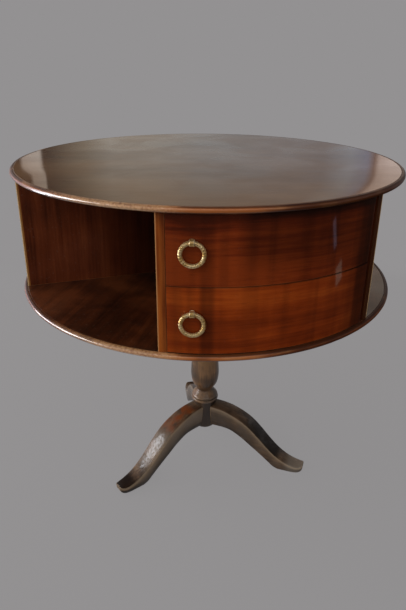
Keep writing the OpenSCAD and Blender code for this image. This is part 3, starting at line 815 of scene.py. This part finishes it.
# Boards and their edge bands. A dent is (angle, rise, width, depth); the rise runs from -1 at the underside
# to 1 at the upper side.
boardSizes = {
    "boardSteps": 192, "rings": (0.0, 0.03, 0.08, 0.14, 0.20, 0.26, 0.31, 0.35), "seam": 0.00035,
    "arris": 0.0004, "arrisDrop": 0.0003, "spindleHole": 0.01105,
    "bandSteps": 480, "bandFlat": 0.0012, "bandDrop": 0.0002, "wobble": 0.00022,
    "dents": 90, "dentRise": (-0.7, 0.9), "dentWidth": (0.003, 0.016), "dentDepth": (0.00008, 0.00038),
}
upperChips = [(radians(-120.2), 0.75, 0.006, 0.0011), (radians(-117.6), 0.6, 0.004, 0.0008),
              (radians(-131.0), 0.5, 0.010, 0.0006)]
lowerChips = [(radians(-120.0), 0.8, 0.006, 0.0009), (radians(-168.5), 0.4, 0.006, 0.0009),
              (radians(-147.0), 0.9, 0.008, 0.0008)]


def dentDepth(angle, rise, dents):
    # how deep the worn edge is cut back at a place
    depth = 0.0
    for where, level, width, size in dents:
        turn = (angle - where + pi) % (2 * pi) - pi
        if abs(turn) < 3 * width:
            depth += size * exp(-(turn / width) ** 2 - ((rise - level) / 0.55) ** 2)
    return depth


def randomDents(seed):
    pick = random.Random(seed)
    size = boardSizes
    return [(pick.uniform(-pi, pi), pick.uniform(*size["dentRise"]), pick.uniform(*size["dentWidth"]),
             pick.uniform(*size["dentDepth"])) for _ in range(size["dents"])]


def makeBoard(name, node, finish, hole=0.0):
    # a flat round board that stops just short of its edge band, which leaves the fine seam between them
    size = boardSizes
    low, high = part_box(node)[0].z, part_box(node)[1].z
    outer = table["boardRadius"] - table["bandWidth"] - size["seam"]
    radii = [hole] + [r for r in size["rings"] if r > hole] + [outer - size["arris"], outer]
    over = [(r, high) for r in radii[:-1]] + [(outer, high - size["arrisDrop"])]
    under = [(r, low) for r in reversed(radii)]
    shape = lathe(over + under, size["boardSteps"], hole > 0.0)
    addPiece(name, shape, finish, "drum", node)


def makeBand(name, node, finish, dents):
    # the half-round edge, with its dents and rubbed flats cut back from the full round
    size = boardSizes
    low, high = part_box(node)[0].z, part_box(node)[1].z
    half = (high - low) / 2
    middle = (high + low) / 2
    inner = table["boardRadius"] - table["bandWidth"]
    centre = table["boardRadius"] - half
    flat = inner + size["bandFlat"]
    rounded = arcLine((centre, middle), half, -pi / 2, pi / 2, 16)
    outline = [(inner, low), (flat, low)] + rounded + [(flat, high), (inner, high - size["bandDrop"])]

    def rub(radius, z, angle):
        out = max(0.0, (radius - centre) / half)
        rise = (z - middle) / half
        cut = dentDepth(angle, rise, dents) * min(1.0, 2.0 * out)
        lumps = noise.noise(Vector((9 * cos(angle), 9 * sin(angle), rise)))
        cut += size["wobble"] * (1.0 + lumps) * out
        return radius - cut * max(0.25, out), z - cut * 0.6 * rise

    addPiece(name, lathe(outline, size["bandSteps"], True, rub), finish, "drum", node)


makeBoard("topBoard", "top_board", topFinish)
makeBand("topBoardEdge", "top_board_edge", upperEdgeFinish, randomDents(11) + upperChips)
makeBoard("lowerBoard", "lower_board", shelfFinish, boardSizes["spindleHole"])
makeBand("lowerBoardEdge", "lower_board_edge", lowerEdgeFinish, randomDents(23) + lowerChips)
print("boards ready")

partitionSizes = {"edgeRound": 0.0022, "outerSteps": 10, "innerSteps": 6, "clear": 0.0001}


def makePartition(unit, side):
    size = partitionSizes
    turn = table[side + "Wall"] + unitTurn[unit]
    half = table["wallThick"] / 2
    outer, inner = table["drumRadius"], table["postRadius"] + size["clear"]
    lean, near = asin(half / outer), asin(half / inner)
    plan = arcLine((0, 0), outer, turn - lean, turn + lean, size["outerSteps"])
    plan += arcLine((0, 0), inner, turn + near, turn - near, size["innerSteps"])
    shape = raisePlan(plan, table["floorZ"], table["ceilingZ"])
    softenEdges(shape, size["edgeRound"], 3,
                pick=lambda e: all(hypot(v.co.x, v.co.y) > outer - 0.001 for v in e.verts)
                and abs(e.verts[0].co.z - e.verts[1].co.z) > 0.1)
    name = "partition" + unit.upper() + side.capitalize()
    addPiece(name, shape, wallFinish, "drum", f"partition_{unit}_{side}")


for unit in unitTurn:
    for side in ("left", "right"):
        makePartition(unit, side)
print("partitions ready")

frontSizes = {"thick": 0.018, "pivotInset": 0.011, "edgeRound": 0.0009, "arcSteps": 56, "pivotSteps": 10}


def makeFront(level, unit):
    # a curved front whose right end is rounded about the rod that it turns on
    size = frontSizes
    low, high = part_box(f"{level}_{unit}_front")[0].z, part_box(f"{level}_{unit}_front")[1].z
    outer, inner, inset = table["drumRadius"], table["drumRadius"] - size["thick"], size["pivotInset"]
    aside = table["wallThick"] / 2 + table["sideGap"]
    left, right = table["leftWall"], table["rightWall"]
    pivotAngle = right - asin((aside + inset) / (outer - inset))
    pivot = polar(outer - inset, pivotAngle)
    plan = arcLine((0, 0), outer, left + asin(aside / outer), pivotAngle, size["arcSteps"])
    plan += arcLine((pivot.x, pivot.y), inset, pivotAngle, right + pi / 2, size["pivotSteps"])[1:]
    plan += arcLine((0, 0), inner, right - asin(aside / inner), left + asin(aside / inner), size["arcSteps"])
    turned = Matrix.Rotation(unitTurn[unit], 3, "Z")
    plan = [tuple((turned @ Vector((x, y, 0)))[:2]) for x, y in plan]
    shape = raisePlan(plan, low, high)
    softenEdges(shape, size["edgeRound"], 2, radians(25))
    addPiece(f"{level}Front{unit.upper()}", shape, frontFinishes[level], f"{level}_{unit}_drawer",
             f"{level}_{unit}_front")


# Ring pulls: a cast wreath that hangs in an eye on a small round plate. The eye, the plate and the shank are
# turned from points (radius, place along the axis).
pullSizes = {
    "ringOff": 0.00609, "fromEnd": 0.0395, "path": 0.0177, "wire": 0.00378, "ribs": 26, "ribDepth": 0.10,
    "twist": 0.10, "plainHalf": 0.35, "steps": 208, "wireSteps": 14,
    "eyeSide": ((0.0045, -0.0035), (0.005, -0.004), (0.0056, -0.0033)), "eyeWaist": 0.0054, "eyeSteps": 40,
    "plate": ((0.0, 0.0), (0.0042, 0.0), (0.0044, 0.0003), (0.0036, 0.001), (0.0, 0.001)), "plateSteps": 32,
    "shank": ((0.0, -0.0002), (0.002, 0.0), (0.002, 0.0181), (0.0045, 0.0181), (0.0043, 0.0192),
              (0.0030, 0.0196), (0.0, 0.0196)), "shankSteps": 24,
}
freeEnd = table["leftWall"] + asin((table["wallThick"] / 2 + table["sideGap"]) / table["drumRadius"])


def pullFrame(level, unit):
    # X across the front, Y outwards, Z up, at the middle of the eye
    angle = freeEnd + pullSizes["fromEnd"] / table["drumRadius"] + unitTurn[unit]
    low, high = (corner.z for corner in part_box(f"{level}_{unit}_eye"))
    across, outward = Vector((-sin(angle), cos(angle), 0)), Vector((cos(angle), sin(angle), 0))
    place = outward * (table["drumRadius"] + pullSizes["ringOff"]) + Vector((0, 0, low + (high - low) / 2))
    axes = Matrix((across, outward, (0, 0, 1))).transposed().to_4x4()
    return Matrix.Translation(place) @ axes


def makeRing(level, unit):
    size = pullSizes
    rings = []
    for i in range(size["steps"]):
        angle = 2 * pi * i / size["steps"]
        away = abs((angle - pi / 2 + pi) % (2 * pi) - pi)   # nought where the ring hangs in its eye
        worked = min(1.0, away / size["plainHalf"])
        ribs = 0.5 + 0.5 * cos(size["ribs"] * angle)
        wire = size["wire"] * (1.0 - size["ribDepth"] * worked * (1.0 - ribs))
        ring = []
        for j in range(size["wireSteps"]):
            lean = 2 * pi * j / size["wireSteps"]
            thick = wire * (1.0 - size["twist"] * worked * (0.5 + 0.5 * sin(size["ribs"] * angle + 3 * lean)))
            reach = size["path"] + thick * cos(lean)
            ring.append(Vector((reach * cos(angle), thick * sin(lean), reach * sin(angle) - size["path"])))
        rings.append(ring)
    shape = loft(rings + [rings[0]], capped=False)
    bmesh.ops.remove_doubles(shape, verts=shape.verts, dist=weld)
    shape.transform(pullFrame(level, unit))
    addPiece(f"{level}Ring{unit.upper()}", shape, brassFinish, f"{level}_{unit}_pull", f"{level}_{unit}_ring")


def makeEye(level, unit):
    # the eye, its plate and the shank that is riveted inside the front
    size = pullSizes
    side = list(size["eyeSide"])
    barrel = side + [(size["eyeWaist"], 0.0)] + [(radius, -z) for radius, z in reversed(side)]
    shape = lathe(barrel, size["eyeSteps"], True)
    shape.transform(Matrix.Rotation(pi / 2, 4, "Y"))
    face = Matrix.Translation((0, -size["ringOff"], 0))
    for name, turn in (("plate", -pi / 2), ("shank", pi / 2)):
        addPart(shape, lathe(size[name], size[name + "Steps"], False), face @ Matrix.Rotation(turn, 4, "X"))
    shape.transform(pullFrame(level, unit))
    addPiece(f"{level}Eye{unit.upper()}", shape, brassFinish, f"{level}_{unit}_drawer", f"{level}_{unit}_eye")


for unit in unitTurn:
    for level in ("upper", "lower"):
        makeFront(level, unit)
        makeRing(level, unit)
        makeEye(level, unit)
print("drawer fronts and pulls ready")

# Column, turned from the leg block up to the flat head. Points of a line are shares (of the way from its
# thin radius to its thick one, of its height).
columnSizes = {
    "steps": 144, "block": 0.0285, "blockRound": 0.007, "foot": 0.012, "bead": 0.0045, "bell": 0.0315,
    "neck": 0.020, "vase": 0.0335, "shaft": 0.022, "collar": 0.027, "collarHigh": 0.009, "head": 0.045,
    "headThick": 0.009, "bellHigh": 0.030, "coveHigh": 0.040, "blockTop": 0.149, "arris": 0.0006,
    "socket": 0.0112, "socketDeep": 0.1002, "untrue": 0.0003,
    "bellLine": ((0.9, 0.3), (1, 0.37), (0.88, 0.48), (0.48, 0.67), (0.2, 0.83), (0, 1)),
    "vaseFoot": ((0.38, 0.041), (0.78, 0.088), (1, 0.16)),
    "vaseLine": ((0.98, 0.27), (0.55, 0.56), (0.09, 0.85), (0, 1)),
    "coveLine": ((0, 0.05), (0.04, 0.39), (0.5, 0.76), (0.87, 1)),
}


def makeColumn():
    size = columnSizes
    low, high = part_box("column")[0].z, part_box("column")[1].z
    blockTop, block, rounding = size["blockTop"], size["block"], size["blockRound"]
    neckZ = blockTop + size["bellHigh"]
    headZ = high - size["headThick"]
    coveZ = headZ - size["coveHigh"]
    collarZ = coveZ - size["collarHigh"]
    neck, bell, vase, shaft, head = (size[k] for k in ("neck", "bell", "vase", "shaft", "head"))

    def line(name, thin, thick, start, end):
        return [(thin + s * (thick - thin), start + v * (end - start)) for s, v in size[name]]

    outline = [(0.0, low), (size["foot"], low)]
    outline += arcLine((block - rounding, low + rounding), rounding, -pi / 2, 0, 8)
    outline += [(block, blockTop - size["arris"]), (block - 0.0005, blockTop)]
    outline += arcLine((block, blockTop + size["bead"]), size["bead"], -pi / 2, pi / 2, 10)
    outline += smoothLine(line("bellLine", neck, bell, blockTop, neckZ)
                          + line("vaseFoot", neck, vase, neckZ, collarZ)
                          + line("vaseLine", shaft, vase, neckZ, collarZ), 8)
    collarHalf = size["collarHigh"] / 2
    outline += arcLine((size["collar"] - collarHalf, collarZ + collarHalf), collarHalf, -pi / 2, pi / 2, 10)
    outline += smoothLine(line("coveLine", shaft, head, coveZ, headZ), 8)
    arris = size["arris"]
    outline += [(head - arris, headZ), (head, headZ + arris), (head, high - arris), (head - arris, high)]
    socket, floor = size["socket"], high - size["socketDeep"]
    outline += [(socket, high), (socket, floor), (0.0, floor)]

    def rub(radius, z, angle):
        # an old turning is never quite true
        lumps = noise.noise(Vector((2.2 * cos(angle), 2.2 * sin(angle), 30 * z)))
        return radius - size["untrue"] * (1.0 + lumps) * (radius > 0.013), z

    addPiece("turnedColumn", lathe(outline, size["steps"], False, rub), columnFinish, "base", "column")


makeColumn()

# Legs: points are shares of the run and of the height, as the solids have them
legSizes = {
    "reach": 0.254, "top": 0.139, "rootHigh": 0.056, "halfWidth": 0.022, "blockRadius": 0.0286,
    "bury": 0.009, "clear": 0.0001, "camber": 0.0016, "arris": 0.0038, "underRound": 0.0012,
    "endRound": 0.0011, "tuck": 0.16, "stations": 84, "crowding": 1.25, "firstStation": 0.006,
    "lastGap": 0.0002, "blend": 0.03, "lineSteps": 10,
    "upper": [(0, 1), (0.12, 0.985), (0.222, 0.942), (0.325, 0.87), (0.423, 0.77), (0.517, 0.626),
              (0.615, 0.453), (0.714, 0.302), (0.803, 0.205), (0.89, 0.15), (0.955, 0.138), (1, 0.16)],
    "toe": [(1, 0.075), (0.98, 0.035), (0.945, 0.01), (0.89, 0)],
    "under": [(0.75, 0), (0.7, 0.035), (0.65, 0.105), (0.556, 0.235), (0.444, 0.372), (0.329, 0.505)],
    "width": [(0, 0.86), (0.12, 0.9), (0.25, 0.97), (0.4, 1), (0.55, 1), (0.7, 0.93), (0.83, 0.86),
              (0.93, 0.78), (0.98, 0.62), (1, 0.45)],
}
legTurns = {"right": radians(51 - 90), "rear": radians(51 + 120 - 90), "left": radians(51 + 240 - 90)}


def lookUp(line, x):
    # height of a line of points at x, the points sorted by x
    for (x0, y0), (x1, y1) in zip(line, line[1:]):
        if x0 <= x <= x1:
            return y0 + (y1 - y0) * (x - x0) / max(x1 - x0, 1e-9)
    return line[0][1] if x < line[0][0] else line[-1][1]


def legSection(top, bottom, half):
    # the outline across a leg: cambered top, rounded arris, a side drawn in towards the flat underside
    size = legSizes
    high = top - bottom
    arris = min(size["arris"], 0.35 * half, 0.35 * high)
    sole = min(size["underRound"], 0.3 * half, 0.3 * high)
    camber = size["camber"] * half / size["halfWidth"]
    points = []
    for k in range(9):
        y = (half - arris) * (1 - k / 4.0)
        points.append((y, top - camber * (y / half) ** 2))
    edgeTop = top - camber * ((half - arris) / half) ** 2
    for k in (1, 2, 3):
        turn = radians(90 + 30 * k)
        points.append((-half + arris + arris * cos(turn), edgeTop - arris + arris * sin(turn)))
    for k in (1, 2, 3, 4):
        z = edgeTop - arris + (bottom + sole - edgeTop + arris) * k / 4.0
        points.append((-half * (1 - size["tuck"] * (k / 4.0) ** 2), z))
    low = half * (1 - size["tuck"])
    points += [(-low + 0.3 * sole, bottom + 0.3 * sole), (-low + sole, bottom), (0.0, bottom)]
    return points + [(-y, z) for y, z in reversed(points[9:-1])]


def makeLeg(side, finish):
    size = legSizes
    start = size["blockRadius"] - size["clear"] - size["bury"]
    run = size["reach"] - start
    first, end, steps = size["firstStation"], size["endRound"], size["lineSteps"]

    def real(name, high):
        return [(start + s * run, v * high) for s, v in size[name]]

    upper = smoothLine(real("upper", size["top"]), steps)
    toe = smoothLine(real("toe", size["top"]), steps)
    root = size["top"] - size["rootHigh"]
    under = smoothLine(real("under", size["top"]) + [(start + 0.2 * run, root), (start, root)], steps)
    lower = sorted(toe + under, key=lambda p: p[0])
    width = smoothLine(real("width", size["halfWidth"]), steps)
    turned = Matrix.Rotation(legTurns[side], 3, "Z")
    rings = []
    for i in range(size["stations"]):
        share = 1 - (1 - i / (size["stations"] - 1)) ** size["crowding"]
        x = start + first + (run - first - size["lastGap"]) * share
        ease = max(0.0, 1.0 - (x - start) / size["blend"])
        ring = []
        for y, z in legSection(lookUp(upper, x), max(lookUp(lower, x), 0.0), lookUp(width, x)):
            # the root ends on the round block
            block = sqrt(max(size["blockRadius"] ** 2 - y * y, 1e-9))
            px = max(block, x + ease * (block - start - first)) if i else block
            ring.append(turned @ Vector((px, y, z)))
        rings.append(ring)
    middle = sum(rings[-1], Vector()) / len(rings[-1])
    rings.append([p + (middle - p).normalized() * end for p in rings[-1]])
    rings[-2] = [p - turned @ Vector((end, 0, 0)) for p in rings[-2]]
    addPiece(f"{side}Leg", loft(rings), finish, "base", f"leg_{side}")


for side, turn in legTurns.items():
    makeLeg(side, legFinish(side, turn))
print("column and legs ready")

# CAD nodes that keep their own shape and take a finish
kept = {
    "spindle": ironFinish, "thrust_washer": brassFinish, "bearing_block": hiddenFinish,
    "block_screws": ironFinish, "hub_post": hiddenFinish, "pivot_rods": ironFinish,
    "pivot_washers": brassFinish,
}
for unit in unitTurn:
    kept[f"dust_board_{unit}"] = liningFinish
    for level in ("upper", "lower"):
        kept[f"{level}_{unit}_sides"] = liningFinish
        kept[f"{level}_{unit}_bottom"] = liningFinish
for name, finish in kept.items():
    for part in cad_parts[name].material_slots:
        part.link = "OBJECT"
        part.material = finish
print(len(kept), "solids finished")

# Studio: pale floor and backdrop, soft panels, and the camera of the photograph. Places are (to the right,
# away, up) as the camera looks.
viewAzimuth = radians(-19)
studio = {
    "backdrop": tone(147, 145, 146), "floor": tone(158, 156, 157), "floorRadius": 14.0, "floorRough": 0.9,
    "light": (1.0, 0.985, 0.965, 1.0), "bright": 0.66, "dim": 0.10,
    "lightFrom": (-0.80, -0.50, 0.35), "lightEnds": (-0.9, 0.9),
    "fade": (0.7, 1.6), "floorEven": 0.88, "ceilingHigh": (0.3, 0.6), "ceiling": 0.3, "aim": (0, 0, 0.5),
}


def viewPoint(right, away, up):
    return Matrix.Rotation(viewAzimuth, 3, "Z") @ Vector((right, away, up))


def backdropRays(kit):
    # one for the rays that are to see the plain backdrop
    path = kit.add("LightPath")
    seen = kit.calc("MAXIMUM", path["Is Camera Ray"], path["Is Glossy Ray"])
    return kit.calc("MAXIMUM", seen, path["Is Transmission Ray"])


def makeWorld():
    # light that is stronger from one side; camera and reflections see the plain backdrop
    world = bpy.data.worlds.new("studioLight")
    scene.world = world
    world.use_nodes = True
    kit = NodeKit(world.node_tree)
    plain = kit.tree.nodes["Background"]
    plain.inputs["Color"].default_value = studio["light"]
    way = kit.add("TexCoord")["Generated"]
    source = viewPoint(*studio["lightFrom"]).normalized()
    facing = kit.add("VectorMath", {0: way, 1: source}, operation="DOT_PRODUCT")["Value"]
    light = kit.ramp(facing, *studio["lightEnds"], studio["dim"], studio["bright"])
    kit.link(light, plain.inputs["Strength"])
    strength = kit.ramp(kit.split(way)[2], *studio["ceilingHigh"], 1.0, studio["ceiling"])
    shown = kit.add("Background", {"Color": studio["backdrop"], "Strength": strength})[0]
    mixed = kit.add("MixShader", {0: backdropRays(kit), 1: plain.outputs[0], 2: shown})[0]
    kit.link(mixed, kit.tree.nodes["World Output"].inputs[0])


def makeFloor():
    # a floor that takes the shadow near the table and turns into the backdrop further out
    shape = bmesh.new()
    bmesh.ops.create_circle(shape, cap_ends=True, radius=studio["floorRadius"], segments=96)
    finish, kit, shader, place = startFinish("studioFloor", studio["floorRough"])
    shader["Specular IOR Level"].default_value = 0.0
    shader["Base Color"].default_value = studio["floor"]
    away = kit.ramp(kit.reach(kit.split(place)), *studio["fade"])
    share = kit.times(kit.calc("MAXIMUM", away, studio["floorEven"]), backdropRays(kit))
    shown = kit.add("Emission", {"Color": studio["backdrop"], "Strength": 1.0})[0]
    lit = kit.tree.nodes["Principled BSDF"].outputs[0]
    mixed = kit.add("MixShader", {0: share, 1: lit, 2: shown})[0]
    kit.link(mixed, kit.tree.nodes["Material Output"].inputs[0])
    meshObject("studioFloor", shape, finish)


def addPanel(name, place, width, height, power, tint):
    # a soft lamp aimed at the middle of the table, unseen by camera and reflections
    lamp = bpy.data.lights.new(name, "AREA")
    lamp.shape = "RECTANGLE"
    lamp.size, lamp.size_y = width, height
    lamp.energy = power
    lamp.color = tint
    panel = bpy.data.objects.new(name, lamp)
    scene.collection.objects.link(panel)
    panel.location = viewPoint(*place)
    panel.rotation_euler = (Vector(studio["aim"]) - panel.location).to_track_quat("-Z", "Y").to_euler()
    panel.visible_camera = panel.visible_glossy = False


# How the far wall's shades bend sideways and shift near its left edge, and where its tint starts. The bend
# starts this far below the card's middle; the pairs are places on the card, from -0.5 to 0.5.
wallBend = {"below": 0.071, "across": (-0.1, 0.1), "shiftUp": (-0.082, -0.036), "shiftAcross": (-0.38, -0.41),
            "shift": -0.02, "tintUp": (-0.164, 0.107)}


def addCard(name, place, width, height, shades, turn=0.0, over=None, curl=0.0, flat=False, lean=0.0):
    # a glowing card that only reflections see; shades are (place from left to right, light), over tints its
    # upper part, curl bends the shades; turn is about Z, lean within the card, and flat lays it down
    shape = bmesh.new()
    bmesh.ops.create_grid(shape, x_segments=1, y_segments=1, size=0.5)
    finish = bpy.data.materials.new(name)
    finish.use_nodes = True
    card = meshObject(name, shape, finish)
    card.location = viewPoint(*place)
    card.scale = (width, height, 1.0)
    upright = Matrix.Identity(3) if flat else Matrix(((1, 0, 0), (0, 0, -1), (0, 1, 0)))
    upright = upright @ Matrix.Rotation(lean, 3, "Z")
    card.rotation_euler = (Matrix.Rotation(viewAzimuth + turn, 3, "Z") @ upright).to_euler()
    card.visible_camera = card.visible_diffuse = card.visible_shadow = False
    card.visible_transmission = card.visible_volume_scatter = False
    kit = NodeKit(finish.node_tree)
    kit.tree.nodes.remove(kit.tree.nodes["Principled BSDF"])
    parts = kit.split(kit.add("TexCoord")["Object"])
    across = kit.calc("ADD", parts[0], 0.5)
    if curl:
        rise = kit.calc("MAXIMUM", kit.calc("ADD", parts[1], wallBend["below"]), 0.0)
        bent = kit.times(kit.times(rise, rise), curl)
        across = kit.addShare(across, bent, kit.ramp(parts[0], *wallBend["across"]))
        shift = kit.times(kit.ramp(parts[1], *wallBend["shiftUp"]),
                          kit.ramp(parts[0], *wallBend["shiftAcross"]))
        across = kit.addShare(across, shift, wallBend["shift"])
    band = kit.tree.nodes.new("ShaderNodeValToRGB")
    kit.link(across, band.inputs[0])
    stops = band.color_ramp.elements
    stops[0].position, stops[0].color = shades[0][0], shades[0][1] + (1.0,)
    stops[1].position, stops[1].color = shades[-1][0], shades[-1][1] + (1.0,)
    for where, light in shades[1:-1]:
        stops.new(where).color = light + (1.0,)
    colour = band.outputs[0]
    if over:
        colour = kit.mix(kit.ramp(parts[1], *wallBend["tintUp"]), colour, over + (1.0,), "MULTIPLY")
    shown = kit.add("Emission", {"Color": colour, "Strength": 1.0})[0]
    kit.link(shown, kit.tree.nodes["Material Output"].inputs[0])


def even(light):
    return [(0.0, light), (1.0, light)]


makeWorld()
makeFloor()
addPanel("windowLeft", (-2.5, 0.72, 1.9), 3.6, 2.6, 48.0, (1.0, 0.99, 1.0))
addPanel("softFront", (-1.9, -2.0, 2.4), 2.0, 1.6, 30.0, (1.0, 0.985, 0.96))

# What the polish reflects: a far wall with pale openings at both ends, windows and dark rugs
farWall = [
    (0.0, (0.0, 0.0, 0.0)), (0.056, (0.02, 0.01, 0.008)), (0.062, (0.58, 0.49, 0.43)),
    (0.100, (0.64, 0.57, 0.51)), (0.106, (0.0, 0.005, 0.01)), (0.125, (0.04, 0.045, 0.045)),
    (0.195, (0.26, 0.235, 0.19)), (0.25, (0.42, 0.40, 0.355)), (0.34, (0.40, 0.385, 0.35)),
    (0.44, (0.35, 0.36, 0.36)), (0.60, (0.30, 0.30, 0.31)), (0.70, (0.24, 0.245, 0.265)),
    (0.755, (0.34, 0.385, 0.44)), (0.79, (0.25, 0.29, 0.40)), (0.806, (0.20, 0.11, 0.09)),
    (0.815, (0.72, 0.56, 0.50)), (0.84, (0.88, 0.72, 0.66)), (1.0, (0.90, 0.82, 0.78)),
]
windowGlass = [
    (0.0, (1.5, 1.4, 1.3)), (0.12, (3.0, 2.9, 2.8)), (0.22, (5.0, 4.9, 4.8)), (0.33, (7.0, 6.9, 7.0)),
    (0.45, (6.0, 5.9, 6.2)), (0.55, (2.2, 2.1, 2.4)), (0.65, (1.0, 0.9, 1.1)), (1.0, (0.6, 0.6, 0.66)),
]
rug = even((0.030, 0.016, 0.010))
addCard("farWall", (0.15, 2.44, 1.35), 3.2, 1.4, farWall, over=(0.79, 0.70, 0.59), curl=2.4)
addCard("windowGlass", (-2.75, 0.2, 0.57), 5.0, 1.08, windowGlass, radians(84))
addCard("legGlass", (-0.92, -0.06, 0.47), 0.22, 0.24, even((7.5, 7.7, 8.2)), radians(90))
addCard("glassBehind", (0.5, -2.6, 2.5), 3.4, 0.8, even((1.7, 1.5, 1.4)))
addCard("glintLine", (1.36, -0.60, 0.305), 0.045, 0.13, even((0.60, 0.55, 0.75)), radians(-106),
        lean=radians(-29))
addCard("glintPatch", (1.40, -0.46, 0.137), 0.10, 0.085, even((0.85, 0.82, 0.66)), radians(-98),
        lean=radians(-26))
addCard("frontRug", (2.2, -2.575, 0.01), 8.0, 3.25, rug, flat=True)
addCard("sideRug", (3.4, 0.425, 0.01), 5.6, 2.75, rug, flat=True)

# The camera's place is in the shared frame; its angles are in degrees, from the view's own azimuth
cameraSizes = {"place": (-0.3487, -1.0128, 0.9227), "lens": 30.56, "sensor": 36.0, "shiftY": -0.062,
               "pitch": 21.83, "yaw": -0.37, "roll": 0.48, "clip": (0.02, 60.0)}


def makeCamera():
    size = cameraSizes
    pitch, yaw, roll = (radians(size[k]) for k in ("pitch", "yaw", "roll"))
    forward = Vector((sin(yaw) * cos(pitch), cos(yaw) * cos(pitch), -sin(pitch)))
    right = Vector((cos(yaw), -sin(yaw), 0))
    over = right.cross(forward)
    sideways = cos(roll) * right + sin(roll) * over
    upward = -sin(roll) * right + cos(roll) * over
    turned = Matrix.Rotation(viewAzimuth, 3, "Z")
    lens = bpy.data.cameras.new("photoView")
    lens.lens = size["lens"]
    lens.sensor_width = size["sensor"]
    lens.sensor_fit = "AUTO"
    lens.shift_y = size["shiftY"]
    lens.clip_start, lens.clip_end = size["clip"]
    camera = bpy.data.objects.new("photoView", lens)
    scene.collection.objects.link(camera)
    facing = Matrix((turned @ sideways, turned @ upward, turned @ -forward)).transposed().to_4x4()
    camera.matrix_world = Matrix.Translation(size["place"]) @ facing
    scene.camera = camera


makeCamera()
print("studio ready")
